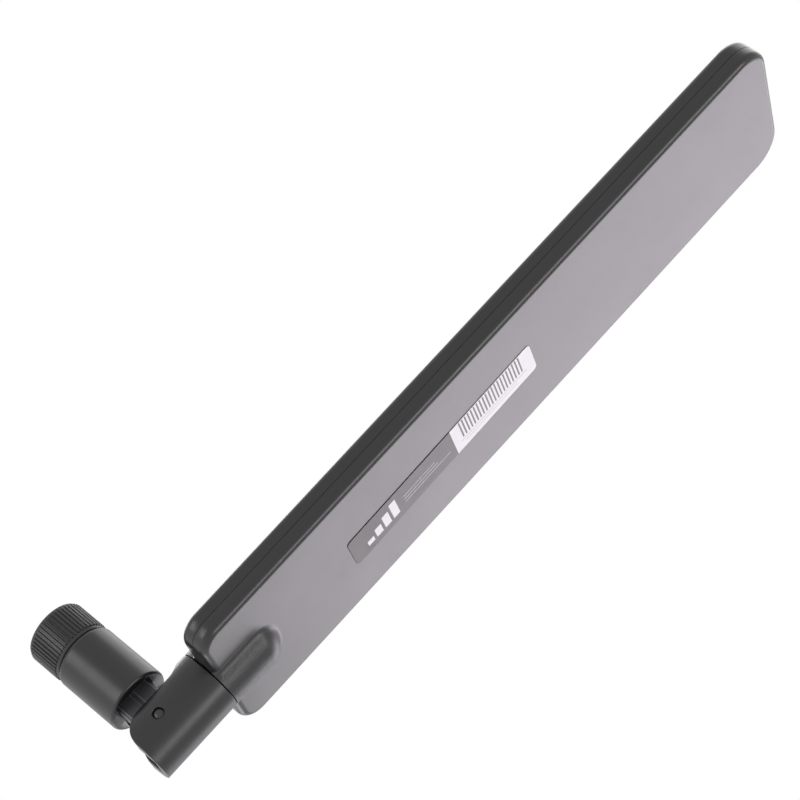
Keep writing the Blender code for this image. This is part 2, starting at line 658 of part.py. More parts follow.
def base_sleeve(parent):
    """Make the sleeve that carries the hinge tongue at one end and the plug in the other."""
    fillet = SLEEVE_HINGE_FILLET
    edge = SLEEVE_NUT_CHAMFER
    profile = [(0, SLEEVE_START)]
    profile += arc((BARREL_RADIUS - fillet, SLEEVE_START + fillet), fillet, -90, 0, FILLET_STEPS)
    profile += [
        (BARREL_RADIUS, SLEEVE_END - edge), (BARREL_RADIUS - edge / 2, SLEEVE_END),
        (SLEEVE_BEARING_RADIUS, SLEEVE_END), (SLEEVE_BEARING_RADIUS, BEARING_FLOOR),
        (SLEEVE_CAVITY_RADIUS, BEARING_FLOOR), (SLEEVE_CAVITY_RADIUS, SLEEVE_START + SLEEVE_END_WALL),
        (0, SLEEVE_START + SLEEVE_END_WALL),
    ]
    sleeve = finish_mesh("base_sleeve", turned(profile, "Y", BARREL_FACETS), parent)
    pocket_half = TONGUE_HALF_HEIGHT + POCKET_MARGIN
    swing = math.degrees(math.asin(pocket_half / POCKET_RADIUS))
    pocket = arc((0, 0), POCKET_RADIUS, -swing, swing, CORNER_STEPS)
    pocket += arc((0, 0), POCKET_RADIUS, 180 - swing, 180 + swing, CORNER_STEPS)
    floor = SLEEVE_START + POCKET_DEPTH
    cut(sleeve, "sleeve_pocket", prism(pocket, "Y", SLEEVE_START - POCKET_DEPTH, floor))
    add(sleeve, "sleeve_tongue", tongue())
    hole_end = SLEEVE_START + 2 * SLEEVE_END_WALL
    hole = [(0, 0), (CABLE_HOLE_RADIUS, 0), (CABLE_HOLE_RADIUS, hole_end), (0, hole_end)]
    cut(sleeve, "sleeve_cable_hole", turned(hole, "Y", SMALL_FACETS))
    half = CABLE_SLOT_WIDTH / 2
    slot = rectangle(-BARREL_DIAMETER, CABLE_SLOT_REACH, -CABLE_SLOT_FLOOR, BARREL_DIAMETER)
    cut(sleeve, "sleeve_cable_slot", prism(slot, "X", -half, half))
    cut(sleeve, "sleeve_pin_bore", x_cylinder(PIN_RADIUS + FIT_GAP, -BARREL_DIAMETER, BARREL_DIAMETER))
    groove = rectangle(0, floor, -SNAP_GROOVE_WIDTH / 2, SNAP_GROOVE_WIDTH / 2)
    for side, word in ((-1, "left"), (1, "right")):
        low = side * (TONGUE_HALF_WIDTH - SNAP_GROOVE_DEPTH)
        cut(sleeve, f"sleeve_{word}_snap_groove", prism(groove, "X", low, side * SLOT_WIDTH))
    sleeve.data.materials.append(material("barrel_black", (0.05, 0.05, 0.053), 0.45))
    return sleeve


def tongue():
    """Return the hinge tongue: a flat bar with a round tip and chamfered edges."""
    root = SLEEVE_START + TONGUE_ROOT_DEPTH
    outline = [(root, TONGUE_HALF_HEIGHT)] + arc((0, 0), TONGUE_HALF_HEIGHT, 90, 270, 2 * CORNER_STEPS)
    outline += [(root, -TONGUE_HALF_HEIGHT)]
    shape = prism(outline, "X", -TONGUE_HALF_WIDTH, TONGUE_HALF_WIDTH)
    rim = [
        edge for edge in shape.edges
        if abs(edge.verts[0].co.x - edge.verts[1].co.x) < 1e-7
        and not all(abs(v.co.y - root) < 1e-7 for v in edge.verts)
    ]
    bmesh.ops.bevel(
        shape, geom=rim, offset=TONGUE_CHAMFER, offset_type="OFFSET", segments=1, profile=0.5,
        affect="EDGES", clamp_overlap=True, material=-1,
    )
    return shape


def retaining_bush(parent):
    """Make the ring that closes the sleeve's mouth and keeps the plug's collar in."""
    low = COLLAR_START + BODY_COLLAR_THICKNESS + FACE_GAP
    inner = BODY_RADIUS + FACE_GAP
    outer = SLEEVE_BEARING_RADIUS - FIT_GAP
    profile = [(inner, low), (outer, low), (outer, SLEEVE_END - FIT_GAP), (inner, SLEEVE_END - FIT_GAP)]
    bush = finish_mesh("retaining_bush", turned(profile, "Y", BARREL_FACETS), parent)
    bush.data.materials.append(material("bush_black", (0.035, 0.035, 0.037), 0.5))
    return bush


def swivel_o_ring(parent):
    """Make the rubber ring that gives the swivel its drag."""
    middle = SLEEVE_BEARING_RADIUS - FACE_GAP - O_RING_SECTION
    centre = (middle, BEARING_FLOOR + FIT_GAP / 2 + O_RING_SECTION)
    profile = arc(centre, O_RING_SECTION, 0, 360, O_RING_FACETS)[:-1]
    ring = finish_mesh("swivel_o_ring", turned(profile, "Y", SMALL_FACETS), parent)
    ring.data.materials.append(material("o_ring_rubber", (0.02, 0.02, 0.02), 0.7))
    return ring


def connector_body(parent):
    """Make the plug's metal body: front barrel, swivel collar and crimp tail."""
    tail_start = BODY_START - TAIL_LENGTH
    groove_low, groove_high = ring_groove()
    groove = BODY_RADIUS - RING_GROOVE_DEPTH
    collar_high = COLLAR_START + BODY_COLLAR_THICKNESS
    profile = [
        (TAIL_BORE, tail_start), (TAIL_RADIUS, tail_start), (TAIL_RADIUS, BODY_START),
        (BODY_RADIUS, BODY_START),
        (BODY_RADIUS, COLLAR_START), (BODY_COLLAR_RADIUS, COLLAR_START), (BODY_COLLAR_RADIUS, collar_high),
        (BODY_RADIUS, collar_high), (BODY_RADIUS, groove_low), (groove, groove_low), (groove, groove_high),
        (BODY_RADIUS, groove_high), (BODY_RADIUS, REFERENCE_PLANE), (BODY_BORE, REFERENCE_PLANE),
        (BODY_BORE, BODY_START + FACE_GAP), (TAIL_BORE, BODY_START + FACE_GAP),
    ]
    body = finish_mesh("connector_body", turned(profile, "Y", SMALL_FACETS), parent)
    body.data.materials.append(material("gold_plate", (0.83, 0.62, 0.27), 0.28, 1.0))
    return body


def ring_groove():
    """Return the reach of both sides of the groove for the snap ring."""
    low = NUT_START + NUT_INSERT_RECESS + NUT_FLANGE_THICKNESS + FACE_GAP
    return low, low + SNAP_RING_THICKNESS + 2 * FIT_GAP


def snap_ring(parent):
    """Make the open ring that keeps the nut on the plug's body."""
    low, high = ring_groove()
    inner = BODY_RADIUS - RING_GROOVE_DEPTH + FIT_GAP
    outer = inner + SNAP_RING_WIDTH
    opening = math.degrees(SNAP_RING_OPENING) / 2
    outline = arc((0, 0), outer, opening, 360 - opening, SMALL_FACETS)
    outline += arc((0, 0), inner, 360 - opening, opening, SMALL_FACETS)
    ring = finish_mesh("snap_ring", prism(outline, "Y", low + FIT_GAP, high - FIT_GAP), parent)
    ring.data.materials.append(material("spring_steel", (0.6, 0.6, 0.62), 0.3, 1.0))
    return ring


def insulator(parent):
    """Make the white insulator that centres the contact in the body."""
    front = REFERENCE_PLANE - FIT_GAP
    back = REFERENCE_PLANE - INSULATOR_LENGTH
    outer = BODY_BORE - FIT_GAP
    inner = CONTACT_RADIUS + FIT_GAP
    profile = [(inner, back), (outer, back), (outer, front), (inner, front)]
    block = finish_mesh("insulator", turned(profile, "Y", SMALL_FACETS), parent)
    block.data.materials.append(material("insulator_white", (0.85, 0.84, 0.8), 0.45))
    return block


def centre_contact(parent):
    """Make the slit socket that takes the mating pin."""
    front = REFERENCE_PLANE - FIT_GAP
    back = BODY_START + 2 * FACE_GAP
    floor = front - CONTACT_BORE_DEPTH
    profile = [(0, back), (CONTACT_RADIUS, back), (CONTACT_RADIUS, front), (CONTACT_BORE, front)]
    profile += [(CONTACT_BORE, floor), (0, floor)]
    contact = finish_mesh("centre_contact", turned(profile, "Y", SMALL_FACETS), parent)
    half = CONTACT_SLIT_WIDTH / 2
    low = front - CONTACT_SLIT_DEPTH
    reach = 2 * CONTACT_RADIUS
    upright = prism(rectangle(-half, half, -reach, reach), "Y", low, front + reach)
    level = prism(rectangle(-reach, reach, -half, half), "Y", low, front + reach)
    cut(contact, "contact_upright_slit", upright)
    cut(contact, "contact_level_slit", level)
    contact.data.materials.append(material("gold_plate", (0.83, 0.62, 0.27), 0.28, 1.0))
    return contact


def crimp_ferrule(parent):
    """Make the tube that is crimped over the cable's braid and the body's tail."""
    high = BODY_START - FIT_GAP
    low = high - FERRULE_LENGTH
    inner = TAIL_RADIUS + FIT_GAP
    outer = inner + FERRULE_WALL
    profile = [(inner, low), (outer, low), (outer, high), (inner, high)]
    ferrule = finish_mesh("crimp_ferrule", turned(profile, "Y", SMALL_FACETS), parent)
    ferrule.data.materials.append(material("nickel_plate", (0.7, 0.69, 0.66), 0.3, 1.0))
    return ferrule


def coupling_nut(parent):
    """Make the metal nut: thread bore at the mouth, ring pocket and rear flange."""
    low = NUT_START + NUT_INSERT_RECESS
    high = NUT_MOUTH - NUT_INSERT_RECESS
    flange_high = low + NUT_FLANGE_THICKNESS
    pocket_high = flange_high + NUT_RING_POCKET_LENGTH
    lead = NUT_INSERT_RECESS
    profile = [
        (NUT_FLANGE_BORE, low), (NUT_INSERT_RADIUS, low), (NUT_INSERT_RADIUS, high),
        (THREAD_RADIUS + lead, high), (THREAD_RADIUS, high - lead), (THREAD_RADIUS, pocket_high),
        (NUT_RING_POCKET_RADIUS, pocket_high), (NUT_RING_POCKET_RADIUS, flange_high),
        (NUT_FLANGE_BORE, flange_high),
    ]
    nut = finish_mesh("coupling_nut", turned(profile, "Y", BARREL_FACETS), parent)
    nut.data.materials.append(material("nickel_plate", (0.7, 0.69, 0.66), 0.3, 1.0))
    return nut


def nut_grip(parent):
    """Make the knurled plastic grip round the metal nut."""
    collar_end = NUT_START + NUT_COLLAR_LENGTH
    inner = NUT_INSERT_RADIUS + FIT_GAP
    root = NUT_GRIP_RADIUS - NUT_RIB_DEPTH
    rings = [
        grip_ring(inner, inner, NUT_START), grip_ring(NUT_COLLAR_RADIUS, NUT_COLLAR_RADIUS, NUT_START),
        grip_ring(NUT_COLLAR_RADIUS, NUT_COLLAR_RADIUS, collar_end),
        grip_ring(root, NUT_GRIP_RADIUS, collar_end),
        grip_ring(root, NUT_GRIP_RADIUS, NUT_MOUTH - NUT_MOUTH_CHAMFER),
        grip_ring(root - NUT_RIB_DEPTH, root, NUT_MOUTH), grip_ring(inner, inner, NUT_MOUTH),
    ]
    grip = finish_mesh("nut_grip", lofted(rings, closed=True), parent)
    grip.data.materials.append(material("grip_black", (0.045, 0.045, 0.047), 0.5))
    return grip


def grip_ring(groove, rib, reach):
    """Return one ring of the grip's points: each rib's flat top and the groove beside it."""
    points = []
    pitch = 2 * math.pi / NUT_RIB_COUNT
    for number in range(NUT_RIB_COUNT):
        for share, radius in ((0.0, groove), (0.16, rib), (0.68, rib), (0.84, groove)):
            angle = (number + share) * pitch
            points.append(Vector((radius * math.cos(angle), reach, radius * math.sin(angle))))
    return points


def main():
    """Build every body about its own joint."""
    clear_scene()
    hinge_place = Vector((0, -NUT_MOUTH, 0))
    plug = empty("plug_frame", hinge_place)
    nut = empty("nut_frame", hinge_place)
    base = empty("base_frame", hinge_place)
    paddle = empty("paddle_frame", hinge_place)

    connector_body(plug)
    insulator(plug)
    centre_contact(plug)
    crimp_ferrule(plug)

    coupling_nut(nut)
    nut_grip(nut)
    snap_ring(nut)

    base_sleeve(base)
    retaining_bush(base)
    swivel_o_ring(base)
    cable(base)

    yoke(paddle)
    hinge_pin("hinge_pin_left", -1, paddle)
    hinge_pin("hinge_pin_right", 1, paddle)
    front_cover(paddle)
    rear_cover(paddle)
    radiator_board(paddle)
    radiator("upper_radiator", 1, paddle)
    radiator("lower_radiator", -1, paddle)
    solder_joints(paddle)
    label(paddle)


main()
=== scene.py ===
# %% [markdown]
# # A hinged wifi antenna
# This is a black plastic antenna that screws on the back of a router. A flat paddle holds
# a printed radiator, a short round yoke carries the paddle, and a round sleeve with a
# knurled nut carries the yoke. The yoke tilts on the sleeve, the sleeve swivels on the
# plug, and the nut spins by itself.
#
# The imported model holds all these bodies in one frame, in metres: the origin is the middle
# of the nut's mouth, the plug points along +Y, the paddle stands along +Z, and its
# labelled front looks to -Y. We load it first and build finer pieces around it.

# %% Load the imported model
import json
import math

import bmesh
import bpy
from mathutils import Matrix, Vector


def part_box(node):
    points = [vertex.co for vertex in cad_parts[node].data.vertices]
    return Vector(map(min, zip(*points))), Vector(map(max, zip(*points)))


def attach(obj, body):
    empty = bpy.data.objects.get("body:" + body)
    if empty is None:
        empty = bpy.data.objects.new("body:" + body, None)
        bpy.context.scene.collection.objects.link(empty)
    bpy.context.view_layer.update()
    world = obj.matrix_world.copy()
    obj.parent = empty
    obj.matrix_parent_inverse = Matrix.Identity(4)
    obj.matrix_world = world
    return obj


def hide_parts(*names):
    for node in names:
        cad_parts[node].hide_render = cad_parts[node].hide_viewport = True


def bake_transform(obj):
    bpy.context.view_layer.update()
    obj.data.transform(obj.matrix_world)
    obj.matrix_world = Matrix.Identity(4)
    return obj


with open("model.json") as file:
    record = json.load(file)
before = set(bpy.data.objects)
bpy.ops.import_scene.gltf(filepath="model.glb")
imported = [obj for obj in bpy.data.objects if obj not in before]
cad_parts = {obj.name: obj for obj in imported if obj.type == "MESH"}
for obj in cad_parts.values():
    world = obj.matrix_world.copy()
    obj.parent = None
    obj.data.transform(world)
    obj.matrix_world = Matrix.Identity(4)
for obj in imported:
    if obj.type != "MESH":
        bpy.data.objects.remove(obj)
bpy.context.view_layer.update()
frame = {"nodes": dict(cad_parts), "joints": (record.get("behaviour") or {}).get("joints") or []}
MM = 0.001


def in_mm(*lengths):
    """Return lengths in millimetres, rounded for print."""
    return [round(length / MM, 2) for length in lengths]


# %% [markdown]
# ## Where things are
# Every joint of the real antenna turns about one of two axes. The plug, nut and sleeve
# share the Y axis. The paddle tilts about an X axis 30.8 mm behind the mouth. It is easiest
# to draw each piece around that hinge point and to shift it as the last step, so a reach is
# a distance from the hinge towards the plug and a height is a distance up the paddle.

# %% Read the hinge and state the main sizes
hinge = Vector(next(joint for joint in frame["joints"] if joint["name"] == "tilt")["pos_m"])
MOUTH = -hinge.y
BARREL_RADIUS = 6.5 * MM
PADDLE_WIDTH = 35.9 * MM
PADDLE_START = 11.58 * MM
PADDLE_END = 168.7 * MM
FRONT_FACE = -3.3 * MM
REAR_FACE = 2.75 * MM
SEAM_PLACE = -0.3 * MM
SEAM = 0.06 * MM
WALL = 1.2 * MM
EDGE_FILLET = 1.45 * MM
TOP_CORNER = 6.8 * MM
BOTTOM_CORNER = 4.8 * MM
print("hinge in mm:", in_mm(*hinge), "paddle's length in mm:", in_mm(PADDLE_END - PADDLE_START))

# %% [markdown]
# ## The camera
# The viewing angle was found by fitting the straight edges of the paddle and the round
# ends of the barrels. It is a long lens from the paddle's front left, a little below, and
# the camera is rolled so that the paddle runs up to the right. Three unit vectors say the
# same thing as three rotation angles, and they are easier to check.

# %% Place the camera
camera_data = bpy.data.cameras.new("portrait")
camera_data.lens = 124.02
camera_data.sensor_width = 36.0
camera_data.clip_start = 0.01
camera_data.clip_end = 20.0
camera = bpy.data.objects.new("portrait", camera_data)
bpy.context.scene.collection.objects.link(camera)
camera_place = hinge + Vector((-446.70, -226.52, -46.54)) * MM
view_right = Vector((0.20223, -0.72019, 0.66365)).normalized()
view_back = Vector((-0.85869, -0.45624, -0.23345)).normalized()
view_up = view_back.cross(view_right).normalized()
view_right = view_up.cross(view_back)
view_turn = Matrix((view_right, view_up, view_back)).transposed().to_4x4()
camera.matrix_world = Matrix.Translation(camera_place) @ view_turn
bpy.context.scene.camera = camera
print("camera to hinge in mm:", in_mm((camera.location - hinge).length))

# %% [markdown]
# ## The studio
# The picture is a product shot on pure white. The antenna is black, so nearly all of what
# we see of it is reflection: the broad front face mirrors a bright panel that stands beyond
# it, each barrel carries one soft stripe from a panel to the camera's left, and every
# rounded outline turns pale where it grazes the white surroundings. So we build a white
# world for the rays that show it, a dimmer world that lights the object, and six panels.
#
# The world and each material are trees of nodes. Adding, setting and linking one node takes
# a line each in Blender, so a few helpers do all three in one call: a value that is given
# as a socket is linked, and a number or a colour is set.

# %% Helpers that add and link nodes
MIX_FIRST, MIX_SECOND, MIX_RESULT = 6, 7, 2


def add_node(tree, kind, values=None, **settings):
    """Add a node, set its properties, and set its inputs or link them to the given sockets."""
    made = tree.nodes.new(kind)
    for key, value in settings.items():
        setattr(made, key, value)
    for key, value in (values or {}).items():
        if isinstance(value, bpy.types.NodeSocket):
            tree.links.new(value, made.inputs[key])
        else:
            made.inputs[key].default_value = value
    return made


def maths(tree, operation, *values, **settings):
    """Return the result of a Math node."""
    made = add_node(tree, "ShaderNodeMath", dict(enumerate(values)), operation=operation, **settings)
    return made.outputs[0]


def ramp(tree, value, start, stop, low=0.0, high=1.0):
    """Return a value that goes from low to high while the given one goes from start to stop."""
    values = {"Value": value, "From Min": start, "From Max": stop, "To Min": low, "To Max": high}
    return add_node(tree, "ShaderNodeMapRange", values).outputs["Result"]


def mix_colour(tree, mask, first, second, **settings):
    """Return the first colour where the mask is 0 and the second where it is 1."""
    values = {"Factor": mask, MIX_FIRST: first, MIX_SECOND: second}
    return add_node(tree, "ShaderNodeMix", values, data_type="RGBA", **settings).outputs[MIX_RESULT]


def seen_directly(tree):
    """Return a mask of the rays that show the studio: from the camera, reflected or let through."""
    rays = add_node(tree, "ShaderNodeLightPath")
    mask = rays.outputs["Is Camera Ray"]
    for kind in ("Is Glossy Ray", "Is Transmission Ray"):
        mask = maths(tree, "MAXIMUM", mask, rays.outputs[kind])
    return mask


# %% Make the world
scene = bpy.context.scene
scene.view_settings.view_transform = "Standard"
world = bpy.data.worlds.new("white_studio")
world.use_nodes = True
scene.world = world
tree = world.node_tree
tree.nodes.clear()
seen = add_node(tree, "ShaderNodeBackground", {"Color": (1.0, 1.0, 1.0, 1.0)})
lighting = add_node(tree, "ShaderNodeBackground", {"Color": (0.98, 0.97, 1.0, 1.0), "Strength": 0.34})
both = {"Fac": seen_directly(tree), 1: lighting.outputs[0], 2: seen.outputs[0]}
blend = add_node(tree, "ShaderNodeMixShader", both)
add_node(tree, "ShaderNodeOutputWorld", {"Surface": blend.outputs[0]})
print("world has", len(tree.nodes), "nodes")


# %% Stand the soft panels
def soft_panel(name, direction, width, height, radiance, target, distance=0.8, tint=(1.0, 1.0, 1.0)):
    """Stand a rectangular lamp off the target, facing it."""
    data = bpy.data.lights.new(name, "AREA")
    data.color = tint
    data.shape = "RECTANGLE"
    data.size = width
    data.size_y = height
    data.energy = radiance * math.pi * width * height
    lamp = bpy.data.objects.new(name, data)
    scene.collection.objects.link(lamp)
    away = Vector(direction).normalized()
    lamp.location = target + away * distance
    lamp.rotation_euler = away.to_track_quat("Z", "Y").to_euler()


paddle_middle = hinge + Vector((0, 0, 85 * MM))
soft_panel("panel_behind", (0.88, -0.46, 0.45), 0.50, 0.80, 2.85, paddle_middle, 1.0, (1.0, 0.93, 1.02))
soft_panel("panel_right", (-0.30, -0.93, 0.28), 0.26, 0.60, 4.6, paddle_middle)
soft_panel("panel_left", (-0.71, 0.46, -0.54), 0.30, 0.46, 3.0, hinge)
soft_panel("panel_above", (0.27, 0.47, 0.84), 0.66, 0.56, 1.5, hinge)
soft_panel("panel_low_right", (0.86, -0.23, -0.45), 0.30, 0.30, 2.6, hinge)
soft_panel("panel_far", (0.50, 0.86, -0.05), 0.30, 0.50, 2.5, hinge)

# %% [markdown]
# The floor lies well below the antenna, which hangs in the air by its nut. It is nearly
# white and sends light up to the undersides. The camera and reflections see it with just
# enough glow added to reach the white of the background, so a shadow on it still shows.
# It is part of the studio and not of the antenna.


# %% Lay the floor
def mesh_object(name, shape):
    """Turn a bmesh into an object of the scene."""
    mesh = bpy.data.meshes.new(name)
    shape.to_mesh(mesh)
    shape.free()
    made = bpy.data.objects.new(name, mesh)
    scene.collection.objects.link(made)
    return made


FLOOR = -700 * MM
FLOOR_GLOW = 0.68
sheet = bmesh.new()
bmesh.ops.create_grid(sheet, x_segments=4, y_segments=4, size=4.0)
bmesh.ops.translate(sheet, verts=sheet.verts, vec=hinge + Vector((0, 0, FLOOR)))
floor = mesh_object("floor", sheet)
floor_paint = bpy.data.materials.new("floor_paper")
floor_paint.use_nodes = True
tree = floor_paint.node_tree
paper = tree.nodes["Principled BSDF"]
paper.inputs["Base Color"].default_value = (0.93, 0.93, 0.94, 1.0)
paper.inputs["Roughness"].default_value = 0.9
glow = add_node(tree, "ShaderNodeEmission", {"Strength": FLOOR_GLOW}).outputs[0]
glowing = add_node(tree, "ShaderNodeAddShader", {0: paper.outputs[0], 1: glow}).outputs[0]
blend = add_node(tree, "ShaderNodeMixShader", {"Fac": seen_directly(tree), 1: paper.outputs[0], 2: glowing})
tree.links.new(blend.outputs[0], tree.nodes["Material Output"].inputs["Surface"])
floor.data.materials.append(floor_paint)
print("floor at z in mm:", in_mm(hinge.z + FLOOR))

# %% [markdown]
# ## Effects that the finishes share
# Moulded plastic is never one flat colour. The mould's spark-eroded skin leaves a grain of
# a quarter to a third of a millimetre, the melt leaves broad faint clouds in the gloss, and
# fingers leave duller patches. One node group makes all three, and each material gives it
# its own values. A group puts out colours, values and heights only: the shader itself
# stays in the material.


# %% Helpers for node groups and textures
def start_group(name, colour, numbers):
    """Start a node group that takes a colour and named numbers, and return it and its inputs."""
    group = bpy.data.node_groups.new(name, "ShaderNodeTree")
    for socket, value in {"Colour": colour, **numbers}.items():
        kind = "NodeSocketColor" if socket == "Colour" else "NodeSocketFloat"
        group.interface.new_socket(name=socket, in_out="INPUT", socket_type=kind).default_value = value
    return group, group.nodes.new("NodeGroupInput").outputs


def end_group(group, results):
    """Put out a group's results: its colour, and its roughness and height as numbers."""
    for socket in results:
        kind = "NodeSocketColor" if socket == "Colour" else "NodeSocketFloat"
        group.interface.new_socket(name=socket, in_out="OUTPUT", socket_type=kind)
    add_node(group, "NodeGroupOutput", results)
    print("group", group.name, "has", len(group.nodes), "nodes")


def object_place(tree):
    """Return the Object coordinates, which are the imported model's own."""
    return add_node(tree, "ShaderNodeTexCoord").outputs["Object"]


def noise(tree, place, scale, detail, roughness, distortion=0.0):
    """Return the value of a noise texture."""
    values = {"Vector": place, "Scale": scale, "Detail": detail, "Roughness": roughness}
    return add_node(tree, "ShaderNodeTexNoise", {**values, "Distortion": distortion}).outputs["Fac"]


# %% [markdown]
# The gloss is the given roughness, plus the clouds and the finger marks around their
# middle value. The colour is lifted a little where dust has settled in a few tiny specks.

# %% The group for moulded plastic
DUST_COLOUR = (0.35, 0.34, 0.33, 1.0)
grain, given = start_group(
    "moulded_skin", (0.02, 0.02, 0.02, 1.0),
    {
        "Roughness": 0.4, "Grain Scale": 4000.0, "Cloud Scale": 90.0, "Cloud": 0.05, "Handling": 0.05,
        "Dust": 0.1,
    },
)
place = object_place(grain)
pits = noise(grain, place, given["Grain Scale"], 3.0, 0.65)
clouds = noise(grain, place, given["Cloud Scale"], 2.0, 0.5)
touches = noise(grain, place, 260.0, 5.0, 0.62, 0.8)
specks = add_node(grain, "ShaderNodeTexVoronoi", {"Vector": place, "Scale": 700.0, "Randomness": 1.0})
cloud_part = maths(grain, "MULTIPLY", maths(grain, "SUBTRACT", clouds, 0.5), given["Cloud"])
touch_part = maths(grain, "MULTIPLY", ramp(grain, touches, 0.52, 0.72), given["Handling"])
gloss = maths(grain, "ADD", given["Roughness"], cloud_part)
gloss = maths(grain, "ADD", gloss, touch_part, use_clamp=True)
speck_mask = ramp(grain, specks.outputs["Distance"], 0.015, 0.05, 1.0, 0.0)
dusted = mix_colour(grain, maths(grain, "MULTIPLY", speck_mask, given["Dust"]), given["Colour"], DUST_COLOUR)
end_group(grain, {"Colour": dusted, "Roughness": gloss, "Height": pits})

# %% [markdown]
# The plug's metal pieces are turned on a lathe, so their marks run round the plug's axis.
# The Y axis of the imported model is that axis, so a piece's own Object coordinates give the
# distance from it. Noise that changes quickly along the radius and the length, and slowly
# round the circle, reads as turning marks. Tarnish darkens and dulls a few patches.


# %% The group for turned metal
def axes_of(tree, vector):
    """Return a vector's X, Y and Z."""
    return add_node(tree, "ShaderNodeSeparateXYZ", {0: vector}).outputs


TARNISH_COLOUR = (0.62, 0.5, 0.36, 1.0)
turning, given = start_group(
    "turning_marks", (0.8, 0.6, 0.3, 1.0), {"Roughness": 0.25, "Mark Scale": 9000.0, "Tarnish": 0.2},
)
place = object_place(turning)
axes = axes_of(turning, place)
squares = [maths(turning, "MULTIPLY", axes[name], axes[name]) for name in ("X", "Z")]
radius = maths(turning, "SQRT", maths(turning, "ADD", *squares))
section = add_node(turning, "ShaderNodeCombineXYZ", {"X": radius, "Y": axes["Y"], "Z": 0.0})
marks = noise(turning, section.outputs[0], given["Mark Scale"], 2.0, 0.5)
stain = ramp(turning, noise(turning, place, 700.0, 4.0, 0.6), 0.45, 0.75)
stain = maths(turning, "MULTIPLY", stain, given["Tarnish"])
darker = mix_colour(turning, stain, given["Colour"], TARNISH_COLOUR, blend_type="MULTIPLY")
duller = maths(turning, "ADD", given["Roughness"], stain, use_clamp=True)
end_group(turning, {"Colour": darker, "Roughness": duller, "Height": marks})

# %% [markdown]
# ## The finishes
# The paddle, the barrels and the grip are all black plastic, but they come from different
# moulds: the paddle's face is smooth satin, the barrels are a shade rougher, and the grip
# is the dullest. Their real colour is nearly the same dark grey. The effect's height goes
# through a Bump node, which tilts the surface without moving it.


# %% Helpers for materials
def use_group(tree, group, bump, bump_distance, **values):
    """Let a shared group feed a material's shader. The name grain_scale is its Grain Scale."""
    named = {key.replace("_", " ").title(): value for key, value in values.items()}
    effect = add_node(tree, "ShaderNodeGroup", named, node_tree=group)
    height = effect.outputs["Height"]
    relief = add_node(tree, "ShaderNodeBump", {"Strength": bump, "Distance": bump_distance, "Height": height})
    shader = tree.nodes["Principled BSDF"]
    tree.links.new(effect.outputs["Colour"], shader.inputs["Base Color"])
    tree.links.new(effect.outputs["Roughness"], shader.inputs["Roughness"])
    tree.links.new(relief.outputs["Normal"], shader.inputs["Normal"])


def new_material(name, **shader_values):
    """Make a material with a few constants on its shader, such as Metallic."""
    made = bpy.data.materials.new(name)
    made.use_nodes = True
    for key, value in shader_values.items():
        made.node_tree.nodes["Principled BSDF"].inputs[key].default_value = value
    return made


def finish(name, group, colour, bump, bump_distance=0.012 * MM, metallic=0.0, coat=0.0, **values):
    """Make a material whose colour, gloss and grain come from a shared group."""
    made = new_material(name, **{"Metallic": metallic, "Coat Weight": coat})
    use_group(made.node_tree, group, bump, bump_distance, colour=colour, **values)
    return made


def grey(value, tint=(1.0, 1.0, 1.0)):
    """Return a grey with a slight tint, as a colour with full alpha."""
    return (value * tint[0], value * tint[1], value * tint[2], 1.0)


# %% The plastics
COOL, WARM = (1.0, 0.97, 1.06), (1.03, 0.98, 1.0)
FACE_ROUGHNESS, BOSS_ROUGHNESS = 0.29, 0.32
BARREL_ROUGHNESS = 0.33
BARREL_COLOUR = grey(0.016, COOL)
paddle_plastic = finish(
    "paddle_plastic", grain, grey(0.017, COOL), bump=1.0, bump_distance=0.06 * MM,
    roughness=FACE_ROUGHNESS, grain_scale=3000.0, cloud_scale=70.0, handling=0.02, dust=0.06,
)
barrel_plastic = finish(
    "barrel_plastic", grain, BARREL_COLOUR, bump=0.4,
    roughness=BARREL_ROUGHNESS, grain_scale=3400.0, cloud_scale=160.0, cloud=0.06, handling=0.04, dust=0.06,
)
grip_plastic = finish(
    "grip_plastic", grain, grey(0.030, WARM), bump=0.4,
    roughness=0.36, grain_scale=4200.0, cloud_scale=200.0, cloud=0.08, handling=0.06, dust=0.12,
)
pin_plastic = finish(
    "pin_plastic", grain, grey(0.03), bump=0.12, roughness=0.3, grain_scale=5200.0, handling=0.04,
)
bush_plastic = finish(
    "bush_plastic", grain, grey(0.015), bump=0.2, roughness=0.5, grain_scale=5000.0, dust=0.2,
)

# %% [markdown]
# The round boss of the paddle keeps the mould's coarse skin, and its broad flat faces are
# polished. The boss is all that stands proud of the faces, so the distance from the
# paddle's middle plane tells the two apart: beyond the faces the gloss drops and the
# grain's height comes up from a trace to its full value.

# %% Make the boss coarser than the faces
FACES_END, BOSS_BEGINS = 3.1 * MM, 3.7 * MM
FACE_GRAIN = 0.005
MIDDLE_PLANE = hinge.y + (FRONT_FACE + REAR_FACE) / 2
tree = paddle_plastic.node_tree
effect = next(node for node in tree.nodes if node.type == "GROUP")
relief = next(node for node in tree.nodes if node.type == "BUMP")
from_middle = maths(tree, "SUBTRACT", axes_of(tree, object_place(tree))["Y"], MIDDLE_PLANE)
proud = ramp(tree, maths(tree, "ABSOLUTE", from_middle), FACES_END, BOSS_BEGINS)
gloss = ramp(tree, proud, 0.0, 1.0, FACE_ROUGHNESS, BOSS_ROUGHNESS)
height = maths(tree, "MULTIPLY", ramp(tree, proud, 0.0, 1.0, FACE_GRAIN), effect.outputs["Height"])
tree.links.new(gloss, effect.inputs["Roughness"])
tree.links.new(height, relief.inputs["Height"])
print("plastics:", [item.name for item in bpy.data.materials if item.name.endswith("_plastic")])

